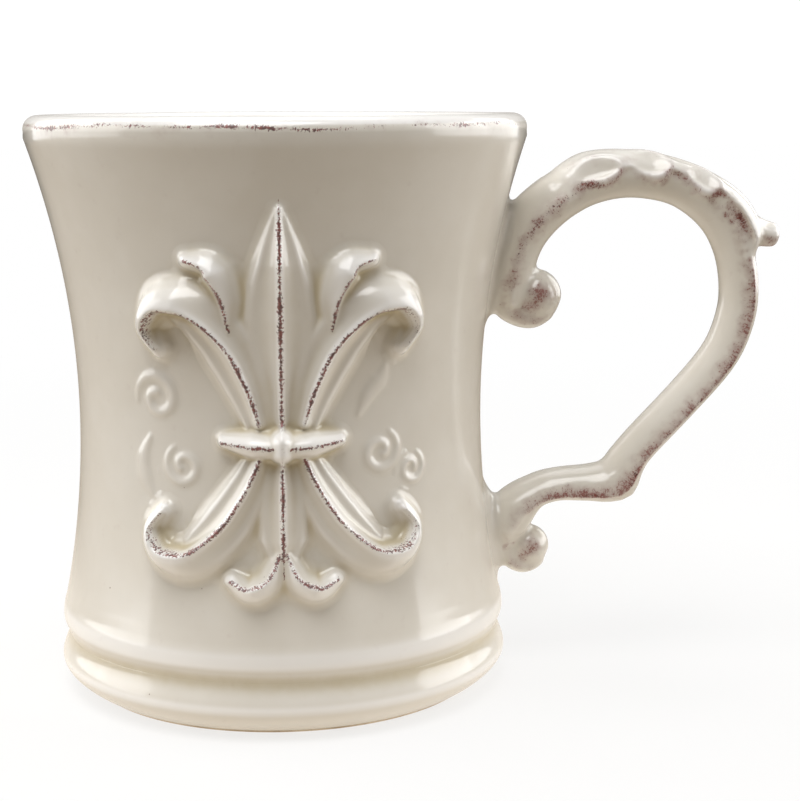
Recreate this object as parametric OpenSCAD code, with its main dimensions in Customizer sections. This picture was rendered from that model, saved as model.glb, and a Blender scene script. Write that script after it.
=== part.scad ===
// A footed stoneware mug with a waisted cup, a scrolled strap handle capped by a leaf,
// and a sprigged lily crest among low scrolls. Millimetres. The origin is on the cup's axis
// at the level of the foot. The handle points to +X and the crest faces -Y.

/* [Cup] */
// Overall height of the cup
cup_h = 108; // [96:1:120]
// Outer radius at the waist, the narrowest level
waist_r = 38.3; // [36:0.1:42]
// Level of the waist
waist_z = 52; // [46:1:58]
// How slowly the wall flares above the waist (larger is straighter)
flare = 314; // [260:1:480]
// How slowly the wall flares below the waist
lower_flare = 335; // [280:1:480]
// Thickness of the wall
wall_t = 4.5; // [3.5:0.1:6]
// Thickness of the rounded lip
lip_t = 5.2; // [4.6:0.1:7]
// Level of the floor inside
floor_z = 8; // [7:0.5:11]
// Radius where the wall meets the floor inside
heel_r = 9; // [5:0.5:12]

/* [Base] */
// Level where the base mouldings start under the plain wall
base_h = 15.5; // [14:0.5:18]
// Outer radius at the crest of the bead
bead_r = 42.5; // [42:0.1:44]
// Outer radius at the bottom of the cove
cove_r = 41.6; // [40.5:0.1:42]
// Outer radius of the plinth, the lowest moulding
plinth_r = 42.9; // [42:0.1:45]
// Outer radius of the foot ring
foot_r = 38.6; // [36:0.1:40]
// Width of the foot ring
foot_w = 5; // [3:0.5:8]
// Level of the cup's underside, inside the foot ring
under_z = 3.2; // [2.5:0.1:4]
// Level where the plinth is widest
plinth_z = 5.8; // [5:0.1:7]
// Level of the bottom of the cove
cove_z = 10.6; // [9.5:0.1:11.5]
// Level of the bead's crest
bead_z = 13.7; // [12.8:0.1:14.5]
// How far in the plinth's edge turns under, down to the foot
tuck = 4.8; // [3:0.1:5.5]

/* [Handle] */
// Half the handle's depth from front to back
strap_half = 5.6; // [4.5:0.1:7]
// Height of the crown outside the side ridge
strap_crown = 3.4; // [2.5:0.1:4.5]
// Depth of the belly inside the side ridge
strap_belly = 4; // [3:0.1:5]
// Radius of the upper scroll's eye
upper_eye_r = 5; // [4:0.1:6]
// Radius of the lower scroll's eye
lower_eye_r = 3.9; // [3:0.1:4.5]
// Thickness of the leaf that caps the handle
leaf_t = 1.7; // [1:0.1:2.5]
// Half the width of the slip at the handle's joints
slip_half = 7.6; // [7:0.1:9]

/* [Crest] */
// Level of the crest's collar
collar_z = 55; // [50:1:60]
// Height of the crest's ridges above the wall
crest_h = 4.4; // [3:0.1:6]
// Half the width of the crest's bars
bar_half = 5.2; // [4:0.1:6]
// Height of the low scrolls above the wall
scroll_h = 1.1; // [0.6:0.1:2]

/* [Hidden] */
glaze = [0.93, 0.90, 0.84];
stained = [0.86, 0.78, 0.74];
clay = [0.80, 0.72, 0.62];
sink = 0.3;        // how far an applied piece beds into what carries it
foot_step = 0.8;   // height of the chamfered edge of the foot ring
wall_steps = 24;   // bands in the wall
ring_steps = 4;    // rings between two guide points of the handle's paths
bar_steps = 5;     // rings between two guide points of a curved bar
stem_steps = 7;    // rings between two guide points of a straight bar
pad_rows = 12;     // bands in a low dome
leaf_from = 17;    // the strap's ring where the leaf starts
leaf_to = 36;      // the strap's ring where the leaf's tip takes over
lobes = 540;       // half turns of the leaf's scalloped edge, in degrees
crest_turn = 0;    // the crest faces -Y
handle_turn = 90;  // the handle points to +X
inner_base_r = waist_r + 1;
ring_r = foot_r - 1;
lip_r = lip_t / 2;
rim_z = cup_h - lip_r;

// The handle's ridge line, from the upper root to the lower root, as [x, z].
strap_line = [
    [42.9, 74], [43.4, 80], [45.8, 85], [50, 89.3], [55.2, 93.2], [61, 95.6], [68.2, 96],
    [76.8, 94], [84, 88.6], [87.6, 81.7], [88.8, 74.3], [88.1, 68], [85.2, 60.6], [77.6, 51.6],
    [68.9, 42.2], [65, 36.9], [59.4, 35.6], [53.6, 35.4], [49.4, 34.2], [45.8, 31.6], [43.2, 28]
];
// How much fuller the strap is at each of those points: it swells at its roots and its knee.
strap_swell = [
    1.2, 1.3, 1.35, 1.4, 1.3, 1.1, 1,
    1, 1, 1, 1, 1, 1, 1,
    0.97, 1.2, 1, 0.93, 1, 1.1, 1.1
];
upper_eye = [48.7, 72.8];
lower_eye = [47.8, 23.6];
upper_curl = [[43.4, 76.6], [43.1, 72.4], [45.2, 70], [48.4, 69.2], [51.2, 70.8], [52, 73.4]];
lower_curl = [[43.5, 29], [43.2, 24.6], [44.4, 21.6], [47, 20.2], [49.6, 21.2], [50.4, 23.8]];
// Middle level, half height and thickness of the slip at each joint.
upper_slip = [80.5, 14.5, 2.2];
lower_slip = [28, 11, 2];
tip_line = [[83, 93.8], [87.2, 90.2], [90.3, 86.9], [93.2, 84.9], [96.2, 84.4]];

// ---- outlines ----

// Outer radius of the plain wall at level z.
function wall_r(z) = waist_r + pow(z - waist_z, 2) / (z > waist_z ? flare : lower_flare);

// A value that eases from a to b as t goes from 0 to 1.
function ease(a, b, t) = a + (b - a) * (1 - cos(180 * t)) / 2;

// An eased edge from point a to point b, without b itself.
function eased_edge(a, b, n) = [for (i = [0:n - 1]) [ease(a.x, b.x, i / n), a.y + (b.y - a.y) * i / n]];

// Points on a circle's arc.
function arc(c, r, from, to, n) = [
    for (i = [0:n]) c + r * [cos(from + (to - from) * i / n), sin(from + (to - from) * i / n)]
];

// ---- smooth paths ----

function spline_at(a, b, c, d, t) =
    0.5 * (2 * b + (c - a) * t + (2 * a - 5 * b + 4 * c - d) * t * t
    + (3 * b - a - 3 * c + d) * t * t * t);

// A smooth path through the guide points p, with n steps between neighbours.
function smooth(p, n = stem_steps) = [
    for (i = [0:len(p) - 2], k = [0:n - 1])
        spline_at(p[max(i - 1, 0)], p[i], p[i + 1], p[min(i + 2, len(p) - 1)], k / n),
    p[len(p) - 1]
];

function mirrored(p) = [for (q = p) [-q.x, q.y]];

function unit(v) = v / norm(v);

// The path's left-hand normal at point i.
function side(p, i) =
    let (d = unit(p[min(i + 1, len(p) - 1)] - p[max(i - 1, 0)])) [-d.y, d.x];

// A value that follows the list w as t goes from 0 to 1.
function along(w, t) =
    let (s = t * (len(w) - 1), i = min(floor(s), len(w) - 2)) w[i] + (w[i + 1] - w[i]) * (s - i);

// A spiral from radius r0 to r1 around c, as a path.
function spiral(c, r0, r1, from, sweep, n) = [
    for (i = [0:n]) c + (r0 + (r1 - r0) * i / n) * [cos(from + sweep * i / n), sin(from + sweep * i / n)]
];

// ---- solids ----

// A point on the cup's wall: u round it from the turn, v up it and h out from it.
function on_wall(u, v, h, turn) =
    let (a = turn + u / waist_r * 180 / PI, r = wall_r(v) + h) [r * sin(a), -r * cos(a), v];

// A closed skin over a grid of upper points and the grid of lower points beneath them.
module slab(top, low) {
    rows = len(top);
    cols = len(top[0]);
    n = rows * cols;
    points = concat([for (r = top, p = r) p], [for (r = low, p = r) p]);
    upper = [for (i = [0:rows - 2], j = [0:cols - 2]) let (a = i * cols + j)
        each [[a, a + cols, a + 1], [a + 1, a + cols, a + cols + 1]]];
    lower = [for (i = [0:rows - 2], j = [0:cols - 2]) let (a = n + i * cols + j)
        each [[a, a + 1, a + cols], [a + 1, a + cols + 1, a + cols]]];
    ends = [for (j = [0:cols - 2]) let (a = j, b = (rows - 1) * cols + j)
        each [[a, a + 1, a + n], [a + 1, a + n + 1, a + n], [b, b + n, b + 1], [b + 1, b + n, b + n + 1]]];
    edges = [for (i = [0:rows - 2]) let (a = i * cols, b = i * cols + cols - 1)
        each [[a, a + n, a + cols], [a + cols, a + n, a + n + cols],
              [b, b + cols, b + n], [b + cols, b + n + cols, b + n]]];
    polyhedron(points, concat(upper, lower, ends, edges), convexity = 8);
}

// The section across a bevelled bar and a round coil, as [across, height].
bevel = [[-1, 0.06], [-0.84, 0.34], [-0.4, 0.52], [0, 1], [0.4, 0.52], [0.84, 0.34], [1, 0.06]];
coil = [[-1, 0.06], [-0.78, 0.62], [-0.4, 0.92], [0, 1], [0.4, 0.92], [0.78, 0.62], [1, 0.06]];

// An applied piece that follows a path on the wall. widths and heights run along the path.
module sprig(path, widths, heights, section, turn = crest_turn) {
    last = len(path) - 1;
    function row(i, lift) =
        let (s = side(path, i), w = along(widths, i / last), h = along(heights, i / last))
        [for (k = section) let (q = path[i] - s * k.x * w) on_wall(q.x, q.y, lift ? k.y * h : -sink, turn)];
    slab([for (i = [0:last]) row(i, true)], [for (i = [0:last]) row(i, false)]);
}

// A low dome on the wall: half as wide as rx, half as high as rz and t thick in the middle.
module pad(u, v, rx, rz, t, turn) {
    edge = 0.05;
    function spot(i, j, lift) =
        let (y = -cos(180 * i / pad_rows),
             w = max(sin(180 * i / pad_rows), 0.12),
             x = -cos(180 * j / pad_rows))
        on_wall(u + rx * w * x, v + rz * y, lift ? edge + t * w * w * (1 - x * x) : -sink, turn);
    slab([for (i = [0:pad_rows]) [for (j = [0:pad_rows]) spot(i, j, true)]],
         [for (i = [0:pad_rows]) [for (j = [0:pad_rows]) spot(i, j, false)]]);
}

// A tube along a path in the XZ plane. Each section point is [out, depth] from the path.
module tube(path, section) {
    last = len(path) - 1;
    rings = [for (i = [0:last]) let (s = side(path, i))
        [for (k = section(i / last)) [path[i].x + s.x * k.x, k.y, path[i].y + s.y * k.x]]];
    m = len(rings[0]);
    walls = [for (i = [0:last - 1], j = [0:m - 1])
        let (a = i * m + j, b = i * m + (j + 1) % m)
        each [[a, b, a + m], [b, b + m, a + m]]];
    caps = concat([[for (j = [m - 1:-1:0]) j]], [[for (j = [0:m - 1]) last * m + j]]);
    polyhedron([for (r = rings, p = r) p], concat(walls, caps), convexity = 8);
}

// ---- the cup ----

module cup() {
    lip_start = rim_z - lip_r * 0.6;
    wall = [for (i = [0:wall_steps])
        let (z = base_h + (lip_start - base_h) * i / wall_steps)
        [wall_r(z), z]];
    lip_c = [wall_r(lip_start) - lip_r, rim_z];
    heel_z = floor_z + heel_r;
    heel_c = [wall_r(heel_z) - wall_t - heel_r, heel_z];
    inside_z = rim_z - lip_r;
    inside = [for (i = [0:wall_steps]) let (z = inside_z - (inside_z - heel_z) * i / wall_steps)
        [wall_r(z) - wall_t, z]];
    color(glaze) rotate_extrude($fn = 96) polygon(concat(
        [[0, under_z], [inner_base_r, under_z], [inner_base_r, base_h]],
        wall,
        arc(lip_c, lip_r, -12, 168, 12),
        inside,
        arc(heel_c, heel_r, -15, -90, 6),
        [[0, floor_z]]
    ));
}

module base_bead() {
    color(glaze) rotate_extrude($fn = 96) polygon(concat(
        [[inner_base_r, cove_z]],
        eased_edge([cove_r, cove_z], [bead_r, bead_z], 8),
        eased_edge([bead_r, bead_z], [wall_r(base_h), base_h], 5),
        [[wall_r(base_h), base_h], [inner_base_r, base_h]]
    ));
}

module plinth() {
    bands = 10;
    turn_under = [for (i = [0:bands - 1])
        [plinth_r - tuck * pow(1 - i / bands, 1.8), foot_step + (plinth_z - foot_step) * i / bands]];
    color(glaze) rotate_extrude($fn = 96) polygon(concat(
        [[ring_r, foot_step]],
        turn_under,
        eased_edge([plinth_r, plinth_z], [cove_r, cove_z], 9),
        [[cove_r, cove_z], [inner_base_r, cove_z], [inner_base_r, under_z], [ring_r, under_z]]
    ));
}

module foot_ring() {
    inner = ring_r - foot_w;
    color(clay) rotate_extrude($fn = 96) polygon([
        [inner - foot_step, under_z], [inner, foot_step], [inner + foot_step, 0],
        [ring_r - foot_step, 0], [ring_r, foot_step], [ring_r, under_z]
    ]);
}

// ---- the handle ----

// How fully the crown stands out: none where it faces the wall at the upper root.
function crown_at(t) = min(1, t * 9);

// The strap's section: a round belly inside the ridges and a soft roof outside them.
function strap_section(t) =
    let (c = crown_at(t), w = along(strap_swell, t), h = strap_half * (0.6 + 0.4 * w))
    concat(
        [for (a = [0:30:180]) [-strap_belly * w * pow(sin(a), 0.9), h * cos(a)]],
        [for (y = [-0.8, -0.45, 0, 0.45, 0.8])
            [0.6 + (strap_crown * w - 0.6) * c * (1 - y * y * 0.8), h * y]]
    );

module handle_strap() {
    color(glaze) tube(smooth(strap_line, ring_steps), function (t) strap_section(t));
}

// A round coil that tapers from r0 to r1.
function coil_section(t, r0, r1, depth) =
    [for (a = [0:36:324]) (r0 + (r1 - r0) * t) * [-sin(a), depth * cos(a)]];

module scroll_coil(line, r0, r1) {
    color(stained) tube(smooth(line, ring_steps), function (t) coil_section(t, r0, r1, 1.45));
}

module upper_scroll() { scroll_coil(upper_curl, 3, 1.7); }
module lower_scroll() { scroll_coil(lower_curl, 2.3, 1.3); }

module scroll_eye(place, r) {
    color(stained) translate([place.x, 0, place.y]) sphere(r = r, $fn = 48);
}

module upper_scroll_eye() { scroll_eye(upper_eye, upper_eye_r); }
module lower_scroll_eye() { scroll_eye(lower_eye, lower_eye_r); }

module joint_slip(s) { color(glaze) pad(0, s[0], slip_half, s[1], s[2], handle_turn); }

module upper_joint_slip() { joint_slip(upper_slip); }
module lower_joint_slip() { joint_slip(lower_slip); }

// The leaf wraps the strap's crown. Its edge runs out in rounded lobes.
module handle_leaf() {
    line = [for (i = [leaf_from:leaf_to]) smooth(strap_line, ring_steps)[i]];
    last = len(line) - 1;
    across = [1, 0.75, 0.4, 0, -0.4, -0.75, -1];
    function reach(t) = strap_half * min(1, 0.3 + 3 * t) * (0.86 + 0.18 * abs(sin(lobes * t)));
    function roof(y) = 1 + (strap_crown - 1) * (1 - pow(abs(y) / strap_half, 1.6));
    function body(k, t) = leaf_t * (1 - 0.45 * k * k) * min(1 + 0.4 * t, 0.25 + 3 * t);
    function row(i, lift) =
        let (s = side(line, i), t = i / last)
        [for (k = across) let (y = k * reach(t), n = roof(y) + (lift ? body(k, t) : -sink))
            [line[i].x + s.x * n, y, line[i].y + s.y * n]];
    color(stained) slab([for (i = [0:last]) row(i, true)], [for (i = [0:last]) row(i, false)]);
}

module handle_leaf_tip() {
    color(stained) tube(smooth(tip_line, ring_steps), function (t)
        let (w = along([4.2, 4, 3.2, 2.2, 1], t), h = along([1, 1.5, 2.1, 2, 1], t))
        [for (a = [0:36:324]) [-h * sin(a), w * cos(a)]]);
}

// ---- the crest ----

spear_line = [[0, collar_z + 1], [0, collar_z + 12], [0, collar_z + 24], [0, collar_z + 37.5]];
petal_line = [
    [3.6, collar_z + 1], [5.6, collar_z + 8], [9.4, collar_z + 16], [14.4, collar_z + 21.4],
    [19.8, collar_z + 21.6], [22.6, collar_z + 17.4], [20.8, collar_z + 13.6]
];
curl_line = [[8, collar_z + 17], [8.4, collar_z + 23], [10.6, collar_z + 28], [14.4, collar_z + 29]];
tail_line = [
    [3.6, collar_z - 5], [6.2, collar_z - 11], [10.6, collar_z - 18], [15.6, collar_z - 22.8],
    [20.8, collar_z - 22.4], [23, collar_z - 18.4], [21, collar_z - 15]
];
toe_line = [[0.4, collar_z - 21], [2, collar_z - 26], [5.4, collar_z - 28], [8.6, collar_z - 26.2]];

module crest_spear() {
    color(stained)
        sprig(smooth(spear_line), bar_half * [0.6, 0.8, 1.15, 1.3, 1.1, 0.66, 0.1],
              crest_h * [0.8, 1, 1.05, 1, 0.3], bevel);
}

module petal(line) {
    color(stained)
        sprig(smooth(line, bar_steps), bar_half * [0.55, 0.8, 0.95, 0.95, 0.78, 0.5, 0.34],
              crest_h * [0.8, 0.95, 1, 1.1, 1.2, 1.15, 0.9], bevel);
}

module crest_petal_right() { petal(petal_line); }
module crest_petal_left() { petal(mirrored(petal_line)); }

module curl(line) {
    color(stained)
        sprig(smooth(line, bar_steps), bar_half * [0.3, 0.5, 0.56, 0.3],
              crest_h * [0.7, 0.9, 1, 0.6], coil);
}

module crest_curl_right() { curl(curl_line); }
module crest_curl_left() { curl(mirrored(curl_line)); }

module crest_collar() {
    line = [[-9.6, collar_z - 2], [-3, collar_z - 2.6], [3, collar_z - 2.6], [9.6, collar_z - 2]];
    color(stained)
        sprig(smooth(line, bar_steps), [1.4, 3, 3.1, 3, 1.4], crest_h * [0.7, 1.15, 1.25, 1.15, 0.7], coil);
}

module crest_pendant() {
    color(stained)
        sprig(smooth([[0, collar_z - 5], [0, collar_z - 12], [0, collar_z - 19], [0, collar_z - 24]]),
              bar_half * [0.55, 0.72, 0.82, 0.8, 0.35], crest_h * [0.8, 1, 1, 0.9, 0.5], bevel);
}

module tail(line) {
    color(stained)
        sprig(smooth(line, bar_steps), bar_half * [0.5, 0.72, 0.85, 0.85, 0.68, 0.45, 0.32],
              crest_h * [0.8, 0.95, 1, 1.05, 1.1, 1.05, 0.8], bevel);
}

module crest_tail_right() { tail(tail_line); }
module crest_tail_left() { tail(mirrored(tail_line)); }

module toe(line) {
    color(stained)
        sprig(smooth(line, bar_steps), bar_half * [0.3, 0.46, 0.5, 0.3],
              crest_h * [0.6, 0.85, 0.9, 0.6], coil);
}

module crest_toe_right() { toe(toe_line); }
module crest_toe_left() { toe(mirrored(toe_line)); }
module crest_bud() { color(stained) pad(0, collar_z - 2.6, 3.1, 3.4, crest_h * 1.45, crest_turn); }

// ---- the low scrolls around the crest ----

module low_scroll(c, r, from, sweep) {
    color(glaze)
        sprig(spiral(c, r, r * 0.24, from, sweep, 24), r * [0.1, 0.22, 0.24, 0.2, 0.14],
              scroll_h * [0.4, 0.9, 1, 1, 1], coil);
}

module low_leaf(line) {
    color(glaze)
        sprig(smooth(line, bar_steps), [0.5, 1.5, 1.8, 0.4], scroll_h * [0.6, 1, 0.9, 0.3], coil);
}

module scroll_left_upper() { low_scroll([-22.6, collar_z + 4.6], 4.6, 190, -450); }
module scroll_left_lower() { low_scroll([-17.6, collar_z - 7], 3.8, 120, 450); }
module scroll_left_leaf() {
    low_leaf([[-24.6, collar_z - 2.4], [-26.2, collar_z - 6],
              [-25.8, collar_z - 10], [-23.8, collar_z - 13]]);
}
module scroll_right_upper() { low_scroll([17.6, collar_z - 5], 4, 60, -450); }
module scroll_right_lower() { low_scroll([24.2, collar_z - 8.6], 3, 60, -430); }
module scroll_right_leaf() {
    low_leaf([[13.6, collar_z + 2], [15.4, collar_z + 5.4], [17.6, collar_z + 8], [18.6, collar_z + 10.6]]);
}

cup();
base_bead();
plinth();
foot_ring();
handle_strap();
upper_scroll();
upper_scroll_eye();
lower_scroll();
lower_scroll_eye();
upper_joint_slip();
lower_joint_slip();
handle_leaf();
handle_leaf_tip();
crest_spear();
crest_petal_left();
crest_petal_right();
crest_curl_left();
crest_curl_right();
crest_collar();
crest_pendant();
crest_tail_left();
crest_tail_right();
crest_toe_left();
crest_toe_right();
crest_bud();
scroll_left_upper();
scroll_left_lower();
scroll_left_leaf();
scroll_right_upper();
scroll_right_lower();
scroll_right_leaf();
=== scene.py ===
"""The looks of a footed ceramic mug: ivory glaze over a moulded body, with an iron stain on its relief."""

import logging
import math
from dataclasses import dataclass, replace
from enum import Enum
from functools import cached_property
from typing import Sequence

import bpy
import numpy as np
from mathutils import Matrix, Vector
from mathutils.kdtree import KDTree


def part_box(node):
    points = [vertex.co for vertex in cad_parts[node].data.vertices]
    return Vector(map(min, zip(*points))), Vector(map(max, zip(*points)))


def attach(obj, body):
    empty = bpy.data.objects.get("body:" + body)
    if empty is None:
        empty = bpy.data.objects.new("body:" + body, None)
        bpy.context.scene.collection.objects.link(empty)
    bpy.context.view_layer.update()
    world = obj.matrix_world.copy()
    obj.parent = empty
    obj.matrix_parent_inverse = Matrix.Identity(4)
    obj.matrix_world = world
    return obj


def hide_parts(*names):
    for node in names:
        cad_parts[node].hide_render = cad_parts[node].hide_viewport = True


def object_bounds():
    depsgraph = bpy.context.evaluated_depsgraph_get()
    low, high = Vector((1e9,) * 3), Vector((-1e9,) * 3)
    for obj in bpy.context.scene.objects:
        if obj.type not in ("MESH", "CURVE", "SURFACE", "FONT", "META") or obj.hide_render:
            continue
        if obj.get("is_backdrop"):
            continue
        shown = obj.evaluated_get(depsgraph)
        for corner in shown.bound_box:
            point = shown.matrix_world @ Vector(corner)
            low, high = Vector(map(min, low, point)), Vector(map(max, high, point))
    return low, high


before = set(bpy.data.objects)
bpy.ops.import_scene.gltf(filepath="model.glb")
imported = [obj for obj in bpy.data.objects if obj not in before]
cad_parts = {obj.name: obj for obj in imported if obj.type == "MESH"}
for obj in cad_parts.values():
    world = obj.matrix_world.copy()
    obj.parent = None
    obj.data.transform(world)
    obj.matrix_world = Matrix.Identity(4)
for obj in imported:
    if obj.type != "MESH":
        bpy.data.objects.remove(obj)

MM = 0.001
TAU = 2 * math.pi
LOG = logging.getLogger("mug")

Array = np.ndarray
Guide = Sequence[Sequence[float]]
Colour = tuple[float, float, float]


class Slot(Enum):
    """The record's material slots."""

    IVORY = "ivory_glaze"
    STAINED = "stained_glaze"
    CLAY = "bare_clay"


class Facing(Enum):
    """Which way a piece laid on the wall looks, as an angle round the cup."""

    FRONT = 0.0
    HANDLE = math.pi / 2


# ---- smooth curves ----


def smooth_path(guide: Guide, steps: int) -> Array:
    """Runs a smooth curve through guide points.

    Args:
        guide: The points, in order.
        steps: How many steps to take between two neighbours.

    Returns:
        The curve's points, one row each.
    """
    p = np.asarray(guide, float)
    padded = np.vstack([p[:1], p, p[-1:]])
    t = np.linspace(0, 1, steps, endpoint=False)[:, None]
    spans = []
    for i in range(len(p) - 1):
        a, b, c, d = padded[i : i + 4]
        curve = 2 * b + (c - a) * t + (2 * a - 5 * b + 4 * c - d) * t**2 + (3 * b - a - 3 * c + d) * t**3
        spans.append(0.5 * curve)
    return np.vstack([*spans, p[-1:]])


def path_frame(path: Array, t: Array) -> tuple[Array, Array]:
    """Finds a path's points and its left-hand normals.

    Args:
        path: The path's points.
        t: How far along it, 0 to 1, by the count of its points.

    Returns:
        The points and the normals.
    """
    spots = np.linspace(0, 1, len(path))
    way = np.gradient(path, axis=0)
    normal = np.column_stack([-way[:, 1], way[:, 0]])
    normal /= np.linalg.norm(normal, axis=1, keepdims=True)
    at = np.column_stack([np.interp(t, spots, path[:, k]) for k in (0, 1)])
    out = np.column_stack([np.interp(t, spots, normal[:, k]) for k in (0, 1)])
    return at, out / np.linalg.norm(out, axis=1, keepdims=True)


def beside(at: Array, out: Array, rise: Array, across: Array) -> Array:
    """Points beside a path in the plane y = 0: out along its normals by the rise, and across in y."""
    return np.column_stack([at[:, 0] + out[:, 0] * rise, across, at[:, 1] + out[:, 1] * rise])


def rounded_end(t: Array) -> Array:
    """The radius of a rod whose last tenth is rounded off, as a share of its full radius."""
    cap = np.clip((t - 0.9) / 0.1001, 0, 1)
    return np.sqrt(1 - cap**2)


def within_half_turn(angle: Array) -> Array:
    """Brings an angle to between minus and plus half a turn."""
    return (angle + math.pi) % TAU - math.pi


def round_the_cup(p: Array) -> tuple[Array, Array]:
    """Each point's angle round the cup, 0 at the front, and its distance from the cup's axis."""
    return np.arctan2(p[:, 0], -p[:, 1]), np.hypot(p[:, 0], p[:, 1])


def along(values: Sequence[float], t: Array) -> Array:
    """Reads a list of values at t, where 0 is its start and 1 its end."""
    return np.interp(t, np.linspace(0, 1, len(values)), values)


def ease(t: Array) -> Array:
    """Eases from 0 to 1 and stays there."""
    t = np.clip(t, 0, 1)
    return t * t * (3 - 2 * t)


def hump(x: Array, width: float) -> Array:
    """A round hump, 1 high at 0, that dies out over the width."""
    return np.exp(-((x / width) ** 2))


def blurred(field_2d: Array, sigma: float) -> Array:
    """Softens a grid of values.

    Args:
        field_2d: The values.
        sigma: How far they spread, in cells.

    Returns:
        The softened grid, of the same shape.
    """
    reach = max(1, int(sigma * 3 + 0.5))
    k = np.exp(-0.5 * (np.arange(-reach, reach + 1) / sigma) ** 2)
    k /= k.sum()
    out = field_2d
    for axis in (0, 1):
        pad = [(0, 0), (0, 0)]
        pad[axis] = (reach, reach)
        wide = np.pad(out, pad, mode="edge")
        out = sum(
            w * np.take(wide, range(i, i + out.shape[axis]), axis=axis)
            for i, w in enumerate(k)
        )
    return out


# ---- mesh work ----


def clear_selection() -> None:
    """Leaves object mode with nothing selected."""
    if bpy.context.object and bpy.context.object.mode != "OBJECT":
        bpy.ops.object.mode_set(mode="OBJECT")
    bpy.ops.object.select_all(action="DESELECT")


def new_piece(name: str) -> bpy.types.Object:
    """Names the primitive that has just been added and puts its object at the origin.

    Args:
        name: The piece's name.

    Returns:
        The piece.
    """
    piece = bpy.context.object
    piece.name = piece.data.name = name
    bpy.ops.object.transform_apply(location=True, rotation=True, scale=True)
    return piece


def vertex_rows(piece: bpy.types.Object, what: str) -> Array:
    """Reads a vector from each of the piece's vertices, one row each.

    Args:
        piece: The piece.
        what: The vector's name.

    Returns:
        The vectors.
    """
    flat = np.empty(len(piece.data.vertices) * 3, np.float32)
    piece.data.vertices.foreach_get(what, flat)
    return flat.reshape(-1, 3).astype(float)


def points_of(piece: bpy.types.Object) -> Array:
    """The piece's vertices in millimetres, one row each."""
    return vertex_rows(piece, "co") / MM


def place_points(piece: bpy.types.Object, points: Array) -> None:
    """Moves the piece's vertices to the points, given in millimetres.

    Args:
        piece: The piece.
        points: Where its vertices go, one row each.
    """
    flat = (points * MM).astype(np.float32).ravel()
    piece.data.vertices.foreach_set("co", flat)
    piece.data.update()


def pick(piece: bpy.types.Object, chosen: Array) -> None:
    """Enters edit mode with only the chosen vertices selected.

    Args:
        piece: The piece to edit.
        chosen: One truth value for each vertex.
    """
    bpy.context.view_layer.objects.active = piece
    bpy.ops.object.mode_set(mode="EDIT")
    bpy.ops.mesh.select_mode(type="VERT")
    bpy.ops.mesh.select_all(action="DESELECT")
    bpy.ops.object.mode_set(mode="OBJECT")
    piece.data.vertices.foreach_set("select", chosen)
    bpy.ops.object.mode_set(mode="EDIT")


def set_values(piece: bpy.types.Object, name: str, values: Array) -> None:
    """Gives each vertex of the piece a number that its glaze reads.

    Args:
        piece: The piece.
        name: What the glaze calls the number.
        values: One number for each vertex.
    """
    layer = piece.data.attributes.new(name, "FLOAT", "POINT")
    layer.data.foreach_set("value", np.asarray(values, np.float32))


def values_of(piece: bpy.types.Object, name: str) -> Array:
    """Reads one of the numbers that a piece's vertices carry.

    Args:
        piece: The piece.
        name: The number's name.

    Returns:
        One number for each vertex.
    """
    values = np.empty(len(piece.data.vertices), np.float32)
    piece.data.attributes[name].data.foreach_get("value", values)
    return values.astype(float)


def brush(piece: bpy.types.Object, line: Array, wash: Array, run: Array) -> None:
    """Marks where the stain goes on a piece.

    Args:
        piece: The piece.
        line: How near each vertex is to a rubbed edge.
        wash: How much thin stain lies there.
        run: How far along the brush's way it is.
    """
    for name, values in (("line", line), ("wash", wash), ("run", run)):
        set_values(piece, name, values)


class Web:
    """The edges of a mesh, along which its values are evened out."""

    def __init__(self, piece: bpy.types.Object) -> None:
        """Reads the piece's edges.

        Args:
            piece: The piece whose mesh it is.
        """
        ends = np.empty(len(piece.data.edges) * 2, np.int32)
        piece.data.edges.foreach_get("vertices", ends)
        self.a, self.b = ends.reshape(-1, 2).T
        self.size = len(piece.data.vertices)
        self.count = np.maximum(np.bincount(ends, minlength=self.size), 1)

    def relaxed(self, values: Array, rounds: int, share: Array | float = 0.5) -> Array:
        """Evens values out between neighbours.

        Args:
            values: One row for each vertex.
            rounds: How many times.
            share: How far each vertex goes to its neighbours' mean each time.

        Returns:
            The evened values.
        """
        out = np.array(values, float).reshape(self.size, -1)
        share = np.broadcast_to(np.asarray(share, float).reshape(-1, 1), (self.size, 1))
        for _ in range(rounds):
            for k in range(out.shape[1]):
                column = out[:, k]
                total = np.bincount(self.a, column[self.b], self.size)
                total += np.bincount(self.b, column[self.a], self.size)
                out[:, k] = column + share[:, 0] * (total / self.count - column)
        return out.reshape(np.shape(values))

    def spread(self, chosen: Array) -> Array:
        """Grows a choice of vertices by one ring.

        Args:
            chosen: One truth value for each vertex.

        Returns:
            The wider choice.
        """
        wider = chosen.copy()
        wider[self.a[chosen[self.b]]] = True
        wider[self.b[chosen[self.a]]] = True
        return wider


def finish_surface(piece: bpy.types.Object) -> None:
    """Points the faces outwards and shades them smooth.

    Args:
        piece: The closed piece.
    """
    bpy.context.view_layer.objects.active = piece
    bpy.ops.object.mode_set(mode="EDIT")
    bpy.ops.mesh.select_all(action="SELECT")
    bpy.ops.mesh.normals_make_consistent(inside=False)
    bpy.ops.object.mode_set(mode="OBJECT")
    piece.select_set(True)
    bpy.ops.object.shade_smooth()
    clear_selection()


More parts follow.
